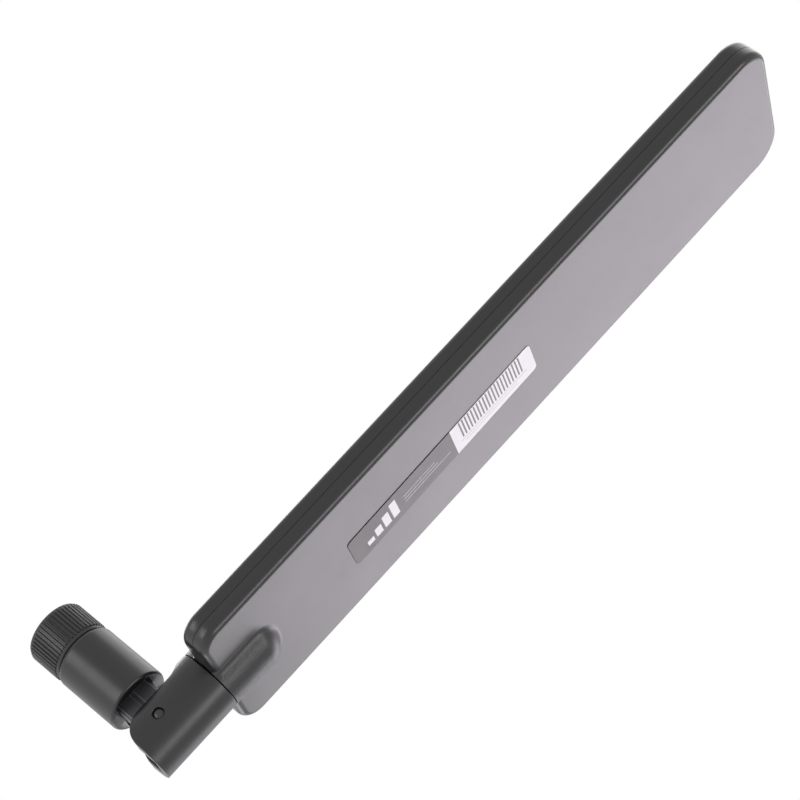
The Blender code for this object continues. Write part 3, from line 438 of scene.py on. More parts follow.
# %% [markdown]
# The pieces inside are rarely seen, but an opened or tilted antenna shows some of them:
# gold plate on the plug, a waxy white insulator, black rubber, the cable's jacket, and the
# green board with its copper.


# %% The metals, rubber, cable and board
def metal(name, group, red, green, blue, bump, **values):
    """Make a fully metallic finish."""
    return finish(name, group, (red, green, blue, 1.0), bump, metallic=1.0, **values)


gold = metal("gold_plate", turning, 0.86, 0.63, 0.26, bump=0.15, roughness=0.2, tarnish=0.18)
nickel = metal("nickel_plate", turning, 0.7, 0.68, 0.64, bump=0.15, roughness=0.24)
steel = metal("spring_steel", turning, 0.55, 0.56, 0.58, bump=0.2, roughness=0.3, tarnish=0.3)
copper = metal(
    "copper_foil", grain, 0.72, 0.36, 0.2, bump=0.15, roughness=0.35, grain_scale=3000.0, cloud=0.2, dust=0.0,
)
tinned = metal("tinned_copper", grain, 0.72, 0.69, 0.64, bump=0.1, roughness=0.3, dust=0.0)
solder = metal(
    "solder_joint", grain, 0.6, 0.61, 0.62, bump=0.35, roughness=0.22, grain_scale=2200.0, cloud=0.15,
    dust=0.0,
)
insulator_white = finish(
    "insulator_white", grain, (0.86, 0.85, 0.8, 1.0), bump=0.1, roughness=0.42, grain_scale=5000.0, cloud=0.1,
    dust=0.0,
)
rubber = finish("ring_rubber", grain, grey(0.012), bump=0.25, roughness=0.62, grain_scale=6000.0)
jacket = finish("cable_jacket", grain, grey(0.016), bump=0.1, roughness=0.34, grain_scale=7000.0)
board_mask = finish(
    "board_mask", grain, (0.02, 0.12, 0.045, 1.0), bump=0.25, coat=0.3,
    roughness=0.28, grain_scale=1600.0, cloud=0.1,
)
print("materials so far:", len(bpy.data.materials))

# %% [markdown]
# ## The label
# A narrow printed film runs up the front face, stuck on slightly askew. Its lower half is
# as dark as the plastic around it and its upper half is white. The white field has a plain
# ladder of even rules and two faint lines. The dark field has four rising bars, as on a
# signal meter, and three thin lines. The film's place and tilt are taken out of its Object
# coordinates with a Mapping node, so that the pattern is drawn in the film's own square.

# %% The label's place, and helpers for its printed pattern
LABEL_WIDTH = 8.9 * MM
LABEL_LENGTH = 51.3 * MM
LABEL_TILT = math.radians(1.5)
label_centre = Vector((0.68 * MM, FRONT_FACE - 0.02 * MM, 71.5 * MM))
label_film = new_material("label_film", **{"Specular IOR Level": 0.40})
film_tree = label_film.node_tree
square = {"Location": label_centre + hinge, "Rotation": (0.0, -LABEL_TILT, 0.0)}
square["Vector"] = object_place(film_tree)
square_up = add_node(film_tree, "ShaderNodeMapping", square, vector_type="TEXTURE")
film_axes = axes_of(film_tree, square_up.outputs[0])


def band(tree, source, low, high, soft=0.03 * MM):
    """Return a mask that is 1 between two places and 0 outside them."""
    rise = ramp(tree, source, low - soft, low + soft)
    return maths(tree, "MULTIPLY", rise, ramp(tree, source, high - soft, high + soft, 1.0, 0.0))


def combined(tree, operation, *masks):
    """Return masks combined one after another with a Math operation."""
    together = masks[0]
    for mask in masks[1:]:
        together = maths(tree, operation, together, mask, use_clamp=True)
    return together


def field(left, right, bottom, top):
    """Return the mask of a rectangle on the film, given in millimetres from its middle."""
    across = band(film_tree, film_axes["X"], left * MM, right * MM)
    return maths(film_tree, "MULTIPLY", across, band(film_tree, film_axes["Z"], bottom * MM, top * MM))


# %% Print the white field, its rules and the marks on the dark field
WHITE_START = 2.95
RULE_SPACE, RULE_EDGE, RULE_SOFTNESS = 0.42 * MM, 0.24 * MM, 0.04 * MM
FAINT, FADED = 0.3, 0.35
BARS_RIGHT, BAR_THICKNESS, LINES_BOTTOM, HALF_LINE = 2.5, 1.7, -11.2, 0.15
white_field = field(-10, 10, WHITE_START, 40)
ladder = maths(film_tree, "PINGPONG", film_axes["Z"], RULE_SPACE)
rungs = band(film_tree, ladder, RULE_EDGE, 2 * MM, RULE_SOFTNESS)
rules = combined(film_tree, "MULTIPLY", field(-4.25, 1.2, 5.2, 22.8), rungs)
faint_lines = combined(film_tree, "MAXIMUM", field(1.75, 2.1, 4.6, 23.4), field(2.75, 3.05, 5.6, 20.4))
bars = []
for number in range(4):
    left, bottom = 1.0 - 1.25 * number, -21.8 + 2.35 * number
    bars.append(field(left, BARS_RIGHT, bottom, bottom + BAR_THICKNESS))
lines = [
    field(across - HALF_LINE, across + HALF_LINE, LINES_BOTTOM, top)
    for across, top in ((-0.7, -2.4), (0.35, -1.8), (1.35, 1.6))
]
faint = maths(film_tree, "MULTIPLY", faint_lines, FAINT)
faded = maths(film_tree, "MULTIPLY", combined(film_tree, "MAXIMUM", *lines), FADED)
pale = combined(film_tree, "SUBTRACT", white_field, rules, faint)
pale = combined(film_tree, "MAXIMUM", pale, combined(film_tree, "MAXIMUM", *bars), faded)
ink = mix_colour(film_tree, pale, (0.024, 0.022, 0.022, 1.0), (0.82, 0.80, 0.83, 1.0))
use_group(film_tree, grain, 0.06, 0.02 * MM, colour=ink, roughness=0.36, grain_scale=2400.0, handling=0.03)
print("label film has", len(film_tree.nodes), "nodes")

# %% [markdown]
# ## Modelling helpers
# Round pieces are turned: a closed outline of radius and distance is spun once round an
# axis. Its corners are softened first, because no real edge is perfectly sharp and the
# thin highlight along an edge is most of what the eye reads. Everything else is cut from
# or joined to such blanks with exact Booleans, one at a time, and cleaned after each cut.
# A Boolean may hand back its points in another order each run, so they are sorted by place,
# and the steps that follow always come out the same.

# %% Helpers for outlines
ON_AXIS = 1e-9


def in_metres(*points):
    """Return an outline that is given in millimetres."""
    return [(first * MM, second * MM) for first, second in points]


def rectangle(left, right, bottom, top):
    """Return a rectangle's corners."""
    return [(left, bottom), (right, bottom), (right, top), (left, top)]


def arc(centre, radius, start, stop, steps):
    """Return the points of an arc, with angles in degrees and both ends included."""
    angles = [math.radians(start + (stop - start) * step / steps) for step in range(steps + 1)]
    return [(centre[0] + radius * math.cos(a), centre[1] + radius * math.sin(a)) for a in angles]


def soften(outline, size, steps=3):
    """Round the corners of a closed outline, but not those on the turning axis."""
    points = []
    for number, (x, y) in enumerate(outline):
        here = Vector((x, y))
        before = Vector(outline[number - 1]) - here
        after = Vector(outline[(number + 1) % len(outline)]) - here
        straight = before.angle(-after) < math.radians(20)
        if x < ON_AXIS or straight:
            points.append((x, y))
            continue
        start = here + before.normalized() * min(size, 0.4 * before.length)
        stop = here + after.normalized() * min(size, 0.4 * after.length)
        for step in range(steps + 1):
            t = step / steps
            point = start.lerp(here, t).lerp(here.lerp(stop, t), t)
            points.append((point.x, point.y))
    return points


# %% Helpers for turned and extruded blanks
AXES = {"Y": Vector((0, 1, 0)), "Z": Vector((0, 0, 1))}
TINY, MERGE = 1e-7, 1e-6


def clean(shape, distance=MERGE):
    """Merge doubles, drop slivers and point all faces outwards."""
    bmesh.ops.remove_doubles(shape, verts=shape.verts, dist=distance)
    bmesh.ops.dissolve_degenerate(shape, edges=shape.edges, dist=TINY)
    bmesh.ops.recalc_face_normals(shape, faces=shape.faces)
    return shape


def lathe(outline, axis, steps=96):
    """Spin a closed outline of (radius, distance) round the Y or Z axis through the hinge."""
    shape = bmesh.new()
    along = AXES[axis]
    verts = [shape.verts.new(Vector((radius, 0, 0)) + along * distance) for radius, distance in outline]
    edges = []
    for first, second in zip(verts, verts[1:] + verts[:1]):
        if max(abs(first.co.x), abs(second.co.x)) > ON_AXIS:
            edges.append(shape.edges.new((first, second)))
    bmesh.ops.spin(
        shape, geom=verts + edges, cent=(0, 0, 0), axis=along, angle=2 * math.pi, steps=steps, use_merge=True
    )
    return clean(shape, TINY)


def extrude(outline, axis, low, high):
    """Extrude an outline along X, from (reach, height), or along Y, from (across, height)."""
    shape = bmesh.new()
    if axis == "X":
        verts = [shape.verts.new((low, first, second)) for first, second in outline]
        step = Vector((high - low, 0, 0))
    else:
        verts = [shape.verts.new((first, low, second)) for first, second in outline]
        step = Vector((0, high - low, 0))
    grown = bmesh.ops.extrude_face_region(shape, geom=[shape.faces.new(verts)])
    moved = [item for item in grown["geom"] if isinstance(item, bmesh.types.BMVert)]
    bmesh.ops.translate(shape, verts=moved, vec=step)
    return clean(shape, TINY)


# %% Helpers for Booleans and edges
def in_order(shape):
    """Sort a shape's points, edges and faces by place."""
    places = {vert: [vert.co[:]] for vert in shape.verts}
    for item in shape.edges[:] + shape.faces[:]:
        places[item] = sorted(vert.co[:] for vert in item.verts)
    for items in (shape.verts, shape.edges, shape.faces):
        ranks = {item: rank for rank, item in enumerate(sorted(items, key=places.get))}
        items.sort(key=ranks.get)
        items.index_update()
    return shape


def combine(shape, tool, operation="DIFFERENCE"):
    """Cut or join two closed shapes exactly and return the result."""
    base, other = mesh_object("work", shape), mesh_object("work", tool)
    modifier = base.modifiers.new("combine", "BOOLEAN")
    modifier.operation = operation
    modifier.solver = "EXACT"
    modifier.object = other
    graph = bpy.context.evaluated_depsgraph_get()
    made = bmesh.new()
    made.from_mesh(base.evaluated_get(graph).to_mesh())
    for used in (base, other):
        bpy.data.meshes.remove(used.data)
    return clean(in_order(made))


def bevel(shape, edges, width, segments):
    """Round edges by a width, or chamfer them with a single segment."""
    bmesh.ops.bevel(
        shape, geom=edges, offset=width, offset_type="OFFSET", segments=segments, profile=0.5,
        affect="EDGES", clamp_overlap=False, material=-1,
    )


def edges_sharper(shape, angle):
    """Return the edges at which the surface turns by more than an angle."""
    limit = math.radians(angle)
    return [edge for edge in shape.edges if len(edge.link_faces) == 2 and edge.calc_face_angle(0) > limit]


def soften_edges(shape, width, angle=40, segments=2, leave=lambda middle: False):
    """Bevel the sharp edges, after clearing the facet lines that crowd them."""
    in_order(shape)
    ends = dict.fromkeys(vert for edge in edges_sharper(shape, angle) for vert in edge.verts)
    ends = sorted((vert for vert in ends if not leave(vert.co)), key=lambda vert: vert.index)
    bmesh.ops.remove_doubles(shape, verts=ends, dist=0.6 * width)
    in_order(shape)
    sharp = dict.fromkeys(edges_sharper(shape, angle))
    near, flat = 1.7 * width, math.radians(15)
    crowding = {}
    for edge in [edge for edge in sharp if edge.calc_length() > 1 * MM]:
        direction = (edge.verts[1].co - edge.verts[0].co).normalized()
        for other in [beside for face in edge.link_faces for beside in face.edges if beside not in sharp]:
            along = (other.verts[1].co - other.verts[0].co).normalized()
            apart = (other.verts[0].co + other.verts[1].co) / 2 - edge.verts[0].co
            across = (apart - direction * apart.dot(direction)).length
            if abs(along.dot(direction)) > 0.9 and across < near and other.calc_face_angle(1) < flat:
                crowding[other] = True
    crowding = sorted(crowding, key=lambda edge: edge.index)
    bmesh.ops.dissolve_edges(shape, edges=crowding, use_verts=True)
    in_order(shape)
    chosen = edges_sharper(shape, angle)
    chosen = [edge for edge in chosen if not leave((edge.verts[0].co + edge.verts[1].co) / 2)]
    bevel(shape, chosen, width, segments)
    return clean(shape)


# %% A helper that puts a finished piece in the scene
def put(name, shape, material, body, slot, *nodes, sharp=40):
    """Shift a shape from the hinge to its place and make it a piece that stands for nodes."""
    bmesh.ops.translate(shape, verts=shape.verts, vec=hinge)
    open_edges = sum(1 for edge in shape.edges if not edge.is_manifold)
    piece = mesh_object(name, shape)
    piece.data.shade_smooth()
    piece.data.set_sharp_from_angle(angle=math.radians(sharp))
    piece.data.materials.append(material)
    even = piece.modifiers.new("even_shading", "WEIGHTED_NORMAL")
    even.keep_sharp = True
    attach(piece, body)
    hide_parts(*nodes)
    piece.data.calc_loop_triangles()
    print(name, "has", len(piece.data.loop_triangles), "triangles and", open_edges, "open edges")


# %% [markdown]
# ## The paddle's covers
# The paddle is two shallow trays that close on each other. Each has a half-round boss at
# its foot where the yoke enters, and the boss flows into the flat face with a soft hollow.
# A Boolean would meet the face in a hard line, so the blank is sliced into a fine grid
# there instead, and each point of the skin is lifted to where the two forms, blended into
# each other, have their common surface.


# %% The blank of a cover
def rounded_slab(inset, low, high):
    """Return a slab with the paddle's outline moved inwards, between two depths."""
    half = PADDLE_WIDTH / 2 - inset
    bottom, top = PADDLE_START + inset, PADDLE_END - inset
    shape = extrude(rectangle(-half, half, bottom, top), "Y", low, high)
    for place, radius in ((bottom, BOTTOM_CORNER - inset), (top, TOP_CORNER - inset)):
        columns = [
            edge for edge in shape.edges if all(abs(v.co.z - place) < TINY for v in edge.verts)
            and abs(edge.verts[0].co.y - edge.verts[1].co.y) > 1e-5
        ]
        bevel(shape, columns, radius, 14)
    return clean(shape, TINY)


def steps_between(low, high, step):
    """Return evenly spaced values from low to high."""
    count = max(1, round((high - low) / step))
    return [low + (high - low) * number / count for number in range(count + 1)]


# %% The blended surface of face and boss
BOSS_END = 25.6 * MM
BOSS_END_FILLET = 4.0 * MM
BOSS_BLEND = 1.0 * MM


def slab_distance(depth, z, face):
    """Signed distance to the flat tray with its rounded lower rim."""
    out, down = depth - (face - EDGE_FILLET), PADDLE_START + EDGE_FILLET - z
    return math.hypot(max(out, 0.0), max(down, 0.0)) + min(max(out, down), 0.0) - EDGE_FILLET


def boss_distance(x, depth, z):
    """Signed distance to the round boss with its filleted end."""
    side = math.hypot(x, depth) - (BARREL_RADIUS - BOSS_END_FILLET)
    end = z - (BOSS_END - BOSS_END_FILLET)
    return math.hypot(max(side, 0.0), max(end, 0.0)) + min(max(side, end), 0.0) - BOSS_END_FILLET


def skin_distance(x, depth, z, face):
    """Both forms, blended over a short distance."""
    slab, boss = slab_distance(depth, z, face), boss_distance(x, depth, z)
    near = max(BOSS_BLEND - abs(slab - boss), 0.0) / BOSS_BLEND
    return min(slab, boss) - near * near * BOSS_BLEND / 4


def skin_depth(x, z, face):
    """Find how far the blended skin stands from the hinge's plane, over a face at a given depth."""
    inside, outside = 1.0 * MM, 8.0 * MM
    z = max(z, PADDLE_START + TINY)
    for _ in range(28):
        middle = (inside + outside) / 2
        if skin_distance(x, middle, z, face) > 0:
            outside = middle
        else:
            inside = middle
    return (inside + outside) / 2


print("skin over the boss's crest in mm:", in_mm(skin_depth(0, 15 * MM, -FRONT_FACE)))

# %% [markdown]
# The slices are 0.3 mm apart, and closer where the boss ends, because its end is steep.

# %% Cut and lift the grid
SLICE, FINE_SLICE = 0.3 * MM, 0.14 * MM
COARSE_END, FINE_START = 24.0 * MM, 24.1 * MM
GRID_REACH, GRID_TOP = 9.6 * MM, 29.4 * MM
SEAM_FILLET = 0.05 * MM


def cover_skin(face):
    """Make one solid cover with its boss, from the seam to its face."""
    side = math.copysign(1, face)
    seam = SEAM_PLACE + side * SEAM / 2
    shape = rounded_slab(0, seam, face)
    for place, radius, segments in ((face, EDGE_FILLET, 8), (seam, SEAM_FILLET, 2)):
        rim = [edge for edge in shape.edges if all(abs(v.co.y - place) < TINY for v in edge.verts)]
        bevel(shape, rim, radius, segments)
    rows = steps_between(PADDLE_START + EDGE_FILLET, COARSE_END, SLICE)[1:]
    rows += steps_between(FINE_START, GRID_TOP, FINE_SLICE)
    cuts = [((x, 0, 0), (1, 0, 0)) for x in steps_between(-GRID_REACH, GRID_REACH, SLICE)]
    cuts += [((0, 0, z), (0, 0, 1)) for z in rows]
    for place, normal in cuts:
        everything = shape.verts[:] + shape.edges[:] + shape.faces[:]
        bmesh.ops.bisect_plane(shape, geom=everything, plane_co=place, plane_no=normal, dist=1e-5)
    start = abs(face) - EDGE_FILLET - MERGE
    for vert in shape.verts:
        if side * vert.co.y > start and abs(vert.co.x) < GRID_REACH and vert.co.z < GRID_TOP:
            vert.co.y = side * skin_depth(vert.co.x, vert.co.z, abs(face))
    return clean(shape, TINY)


# %% [markdown]
# The inside is cut as on the real tray: a room for the board, a round bore inside the boss,
# and a hole for the yoke's neck. The front tray has a rebate round its rim and the rear
# tray a lip that enters it, so no light gets through the seam.

# %% Hollow the covers
NECK_HOLE = 4.5 * MM
FRONT_ROOM, REAR_ROOM = -2.0 * MM, 1.65 * MM
REBATE_INSET, REBATE_START, REBATE_DEPTH = 0.45 * MM, 0.4 * MM, 1.1 * MM
LIP_INSET, LIP_START, LIP_DEPTH = 0.75 * MM, 0.6 * MM, 0.8 * MM


def hollow(shape, inner):
    """Cut the room for the board up to an inner face, the boss's bore and the neck hole."""
    shape = combine(shape, rounded_slab(WALL, -math.copysign(BARREL_RADIUS, inner), inner))
    bore = BARREL_RADIUS - WALL
    fillet = BOSS_END_FILLET - WALL
    low, high = PADDLE_START + WALL + 0.1 * MM, BOSS_END - WALL
    outline = [(0, low), (bore, low)] + arc((bore - fillet, high - fillet), fillet, 0, 90, 8) + [(0, high)]
    shape = combine(shape, lathe(outline, "Z"))
    return combine(shape, lathe(rectangle(0, NECK_HOLE, PADDLE_START - WALL, PADDLE_START + 2 * WALL), "Z"))


rebate = rounded_slab(REBATE_INSET, REBATE_START, SEAM_PLACE - REBATE_DEPTH)
front_shape = hollow(combine(cover_skin(FRONT_FACE), rebate), FRONT_ROOM)
put("front_cover_skin", front_shape, paddle_plastic, "paddle", "paddle_black", "front_cover", sharp=32)
lip = rounded_slab(LIP_INSET, LIP_START, SEAM_PLACE - LIP_DEPTH)
rear_shape = hollow(combine(cover_skin(REAR_FACE), lip, "UNION"), REAR_ROOM)

# %% [markdown]
# Four pegs in the rear tray carry the board. Each has a thin tip in the board's hole and a
# thicker shoulder behind it.

# %% Add the pegs
PEG_INSET = 2.6 * MM
peg = soften(in_metres((0, 0.3), (0.8, 0.3), (0.8, 1.52), (1.6, 1.52), (1.6, 2.4), (0, 2.4)), 0.1 * MM)
board_low, board_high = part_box("radiator_board")
for across in (-1, 1):
    for height in (board_low.z + PEG_INSET, board_high.z - PEG_INSET):
        post = lathe(peg, "Y", 24)
        bmesh.ops.translate(post, verts=post.verts, vec=(across * (board_high.x - PEG_INSET), 0, height))
        rear_shape = combine(rear_shape, post, "UNION")
put("rear_cover_skin", rear_shape, paddle_plastic, "paddle", "paddle_black", "rear_cover", sharp=32)

# %% [markdown]
# ## The label film
# The film is a tenth of a millimetre thick with round corners. It is cut as a thin slab
# with a fine edge, then tilted and stuck on.

# %% Cut the label
FILM = 0.1 * MM
sheet = rectangle(-LABEL_WIDTH / 2, LABEL_WIDTH / 2, -LABEL_LENGTH / 2, LABEL_LENGTH / 2)
film = extrude(sheet, "Y", 0, -FILM)
corners = [edge for edge in film.edges if abs(edge.verts[0].co.y - edge.verts[1].co.y) > FILM / 2]
bevel(film, corners, 1.0 * MM, 8)
soften_edges(film, 0.025 * MM)
bmesh.ops.transform(film, matrix=Matrix.Rotation(-LABEL_TILT, 4, "Y"), verts=film.verts)
bmesh.ops.translate(film, verts=film.verts, vec=label_centre)
put("label_sheet", film, label_film, "paddle", "label_film", "label")

# %% [markdown]
# ## The yoke
# The yoke is a round bar with a slot from below and behind, in which the sleeve's tongue
# swings. Its two ears are cut back and rounded so that they clear the sleeve, a small round
# recess in each shows a hinge pin, and a bore lets the cable up to the paddle.

# %% Turn and cut the yoke
OUTSIDE, FAR = 14 * MM, 20 * MM
SLOT_WIDTH, SLOT_BACK, SLOT_TOP = 5.4 * MM, -4.5 * MM, 4.4 * MM
YOKE_TOP, YOKE_BOTTOM = 11.4 * MM, -6.75 * MM
NECK, FLANGE, FLANGE_BOTTOM, FLANGE_TOP = 4.2 * MM, 5.0 * MM, 13.2 * MM, 14.5 * MM
EAR_START, EAR_REACH, EAR_CORNER = -2.3 * MM, 4.05 * MM, 5.3 * MM
SHOULDER, SHOULDER_RADIUS = 6.0 * MM, 3.4 * MM
yoke_outline = [
    (0, YOKE_BOTTOM), (BARREL_RADIUS, YOKE_BOTTOM), (BARREL_RADIUS, YOKE_TOP), (NECK, YOKE_TOP),
    (NECK, FLANGE_BOTTOM), (FLANGE, FLANGE_BOTTOM), (FLANGE, FLANGE_TOP), (0, FLANGE_TOP),
]
yoke_shape = lathe(yoke_outline, "Z", 128)
slot = rectangle(SLOT_BACK, OUTSIDE, -OUTSIDE, SLOT_TOP)
yoke_shape = combine(yoke_shape, extrude(slot, "X", -SLOT_WIDTH / 2, SLOT_WIDTH / 2))
behind = [(EAR_START, -7.22 * MM)]
behind += arc((EAR_REACH - EAR_CORNER, YOKE_BOTTOM + EAR_CORNER), EAR_CORNER, -75, 0, 14)
behind += arc((EAR_REACH + SHOULDER_RADIUS, SHOULDER), SHOULDER_RADIUS, 180, 90, 16)
behind += [(FAR, SHOULDER + SHOULDER_RADIUS), (FAR, -FAR), (EAR_START, -FAR)]
yoke_shape = combine(yoke_shape, extrude(behind, "X", -OUTSIDE, OUTSIDE))

# %% [markdown]
# Each pin's recess is cut with a turned tool that flares at its mouth. That breaks its edge,
# so the bevel that rounds all the other edges in the last step leaves the holes alone.


# %% Bore the yoke
def turn_to_hinge(shape, side):
    """Turn a shape from the plug's axis to the hinge's, to the left (-1) or to the right (1)."""
    bmesh.ops.rotate(shape, verts=shape.verts, matrix=Matrix.Rotation(-side * math.pi / 2, 3, "Z"))
    return shape


CABLE_BORE, PIN_BORE = 1.3 * MM, 0.95 * MM
yoke_shape = combine(yoke_shape, lathe(rectangle(0, CABLE_BORE, 0, FAR), "Z", 32))
pin_bore = arc((0, 0), PIN_BORE, 0, 360, 32)[:-1]
yoke_shape = combine(yoke_shape, extrude(pin_bore, "X", -OUTSIDE, OUTSIDE))
recess = in_metres((0, 5.3), (1.15, 5.3), (1.15, 6.33), (1.9, 7.1), (1.9, 9.0), (0, 9.0))
for side in (-1, 1):
    yoke_shape = combine(yoke_shape, turn_to_hinge(lathe(recess, "Y", 48), side))
soften_edges(yoke_shape, 0.18 * MM, 38, 3, leave=lambda middle: math.hypot(middle.y, middle.z) < 1.6 * MM)
put("yoke_bar", yoke_shape, barrel_plastic, "paddle", "barrel_black", "yoke")

# %% [markdown]
# ## The hinge pins
# Two short pins join the ears and the tongue. Each has a low domed head that lies just
# below the barrel's surface in its round recess.

# %% Turn the pins
PIN_INNER, PIN_NECK, PIN_CROWN, DOME_RADIUS = 1.25 * MM, 5.4 * MM, 6.25 * MM, 2.1 * MM
PIN_RADIUS, HEAD_RADIUS = 0.85 * MM, 1.02 * MM
outline = [(0, PIN_INNER), (PIN_RADIUS, PIN_INNER), (PIN_RADIUS, PIN_NECK), (HEAD_RADIUS, PIN_NECK)]
for step in reversed(range(6)):
    radius = HEAD_RADIUS * step / 5
    outline.append((radius, PIN_CROWN - DOME_RADIUS + math.sqrt(DOME_RADIUS ** 2 - radius ** 2)))
for side, word in ((-1, "left"), (1, "right")):
    pin = turn_to_hinge(lathe(soften(outline, 0.08 * MM), "Y", 48), side)
    put(f"pin_{word}", pin, pin_plastic, "paddle", "pin_black", f"hinge_pin_{word}")

# %% [markdown]
# ## The sleeve
# The sleeve is turned with a tight fillet at the hinge end and a small chamfer at the
# nut. A shallow pocket surrounds the root of the tongue. The tongue has chamfered edges, a
# round tip, a slot for the cable, and a groove on each side that leads the pin in.

# %% Turn and cut the sleeve
SLEEVE_START, SLEEVE_END, SLEEVE_FILLET = 7.75 * MM, 22.5 * MM, 0.5 * MM
BUSH_BORE, BUSH_FLOOR, TAIL_BORE, TAIL_FLOOR = 4.6 * MM, 18.0 * MM, 3.3 * MM, 11.0 * MM
POCKET_HALF, POCKET_RADIUS, POCKET_FLOOR = 4.1 * MM, 5.75 * MM, 8.7 * MM
outline = [(0, SLEEVE_START)]
outline += arc((BARREL_RADIUS - SLEEVE_FILLET, SLEEVE_START + SLEEVE_FILLET), SLEEVE_FILLET, -90, 0, 8)
outline += [
    (BARREL_RADIUS, SLEEVE_END - 0.6 * MM), (BARREL_RADIUS - 0.3 * MM, SLEEVE_END), (BUSH_BORE, SLEEVE_END),
    (BUSH_BORE, BUSH_FLOOR), (TAIL_BORE, BUSH_FLOOR), (TAIL_BORE, TAIL_FLOOR), (0, TAIL_FLOOR),
]
sleeve_shape = lathe(soften(outline, 0.15 * MM), "Y", 128)
swing = math.degrees(math.asin(POCKET_HALF / POCKET_RADIUS))
pocket = arc((0, 0), POCKET_RADIUS, -swing, swing, 16)
pocket += arc((0, 0), POCKET_RADIUS, 180 - swing, 180 + swing, 16)
sleeve_shape = combine(sleeve_shape, extrude(pocket, "Y", BARREL_RADIUS, POCKET_FLOOR))

# %% Add the tongue
TONGUE_HALF, TONGUE_SIDE, TONGUE_ROOT = 3.9 * MM, SLOT_WIDTH / 2 - 0.25 * MM, 9.8 * MM
CABLE_HOLE, CABLE_HOLE_END, CABLE_SLOT = 1.1 * MM, 13.8 * MM, 0.95 * MM
GROOVE_END, GROOVE_HALF, GROOVE_DEPTH = 8.3 * MM, 0.45 * MM, 0.3 * MM
profile = [(TONGUE_ROOT, TONGUE_HALF)] + arc((0, 0), TONGUE_HALF, 90, 270, 28)
profile += [(TONGUE_ROOT, -TONGUE_HALF)]
tongue = extrude(profile, "X", -TONGUE_SIDE, TONGUE_SIDE)
rim = [
    edge for edge in tongue.edges if abs(edge.verts[0].co.x - edge.verts[1].co.x) < TINY
    and min(v.co.y for v in edge.verts) < TONGUE_ROOT - 0.1 * MM
]
bevel(tongue, rim, 0.5 * MM, 1)
sleeve_shape = combine(sleeve_shape, clean(tongue), "UNION")
sleeve_shape = combine(sleeve_shape, lathe(rectangle(0, CABLE_HOLE, 0, CABLE_HOLE_END), "Y", 32))
slot = rectangle(-OUTSIDE, 5.6 * MM, -1.25 * MM, OUTSIDE)
sleeve_shape = combine(sleeve_shape, extrude(slot, "X", -CABLE_SLOT, CABLE_SLOT))
sleeve_shape = combine(sleeve_shape, extrude(pin_bore, "X", -OUTSIDE, OUTSIDE))
groove = rectangle(0, GROOVE_END, -GROOVE_HALF, GROOVE_HALF)
for side in (-1, 1):
    floor_side, open_side = side * (TONGUE_SIDE - GROOVE_DEPTH), side * (TONGUE_SIDE + 1 * MM)
    sleeve_shape = combine(sleeve_shape, extrude(groove, "X", floor_side, open_side))


def inside_sleeve(middle):
    """Tell the edges of the slot, the pin's bore and the plug's room from those that show."""
    near_pin = math.hypot(middle.y, middle.z) < 1.2 * MM
    return abs(middle.x) < 1.2 * MM or near_pin or middle.y > 15 * MM


soften_edges(sleeve_shape, 0.08 * MM, 38, leave=inside_sleeve)

# %% [markdown]
# The tongue is painted a little paler than the sleeve. This is a painted lift against the shade of the
# pocket round its root. The tongue is also given a duller gloss. Its edges carry painted highlights, paler
# still. The distance from the tongue's spine finds those edges: the lips of the two grooves lie close
# to it and both edges of the chamfer far from it, round the tip as well.

# %% Paint a paler tone on the tongue and highlights on its edges
# Bands measured from the tongue's spine that get painted highlights: the groove lips and the chamfer's edges.
EDGE_HIGHLIGHT_BANDS = in_metres((0.40, 0.56), (3.3, 3.48), (3.8, 4.05))
TONGUE_ROUGHNESS = 0.48
sleeve_plastic = barrel_plastic.copy()
sleeve_plastic.name = "sleeve_plastic"
tree = sleeve_plastic.node_tree
effect = next(node for node in tree.nodes if node.type == "GROUP")
from_hinge = add_node(tree, "ShaderNodeVectorMath", {0: object_place(tree), 1: hinge}, operation="SUBTRACT")
axes = axes_of(tree, from_hinge.outputs[0])
behind_pin = maths(tree, "MINIMUM", axes["Y"], 0.0)
flat = add_node(tree, "ShaderNodeCombineXYZ", {"X": 0.0, "Y": behind_pin, "Z": axes["Z"]})
spine = add_node(tree, "ShaderNodeVectorMath", {0: flat.outputs[0]}, operation="LENGTH")
from_spine = spine.outputs["Value"]
# The tongue's area: a paler tone is painted here against the pocket's shade, and the gloss is duller.
painted_tongue_area = combined(
    tree, "MULTIPLY", band(tree, axes["X"], -2.6 * MM, 2.6 * MM), band(tree, axes["Y"], -5 * MM, 9.3 * MM),
    band(tree, from_spine, -1 * MM, 4.05 * MM),
)
# Painted highlights: pale bands along the groove lips and the chamfer's edges.
painted_edge_highlight = combined(tree, "MAXIMUM", *[band(tree, from_spine, low, high) for low, high in EDGE_HIGHLIGHT_BANDS])
painted_edge_highlight = combined(tree, "MULTIPLY", painted_edge_highlight, painted_tongue_area)
# Painted light: the tongue is paler than the sleeve, and its edges paler still as painted highlights.
colour = mix_colour(tree, painted_tongue_area, BARREL_COLOUR, grey(0.065, COOL))
colour = mix_colour(tree, painted_edge_highlight, colour, grey(0.24, COOL))
tree.links.new(colour, effect.inputs["Colour"])
duller = ramp(tree, painted_tongue_area, 0.0, 1.0, BARREL_ROUGHNESS, TONGUE_ROUGHNESS)
tree.links.new(duller, effect.inputs["Roughness"])
put("sleeve_barrel", sleeve_shape, sleeve_plastic, "base", "barrel_black", "base_sleeve")

# %% [markdown]
# ## The nut's grip
# The grip has 48 ribs, and eight points stand for each: flat root, rounded flank, broad
# crest and back again. A plain ring is turned first, with eight steps for each rib. Each
# point is then moved round to its place on the rib, so that the flanks are steep, and
# pulled towards the axis by the depth of the ribs at its place along the plug: none at the
# collar, most in the middle, and none at the smooth lip round the mouth.

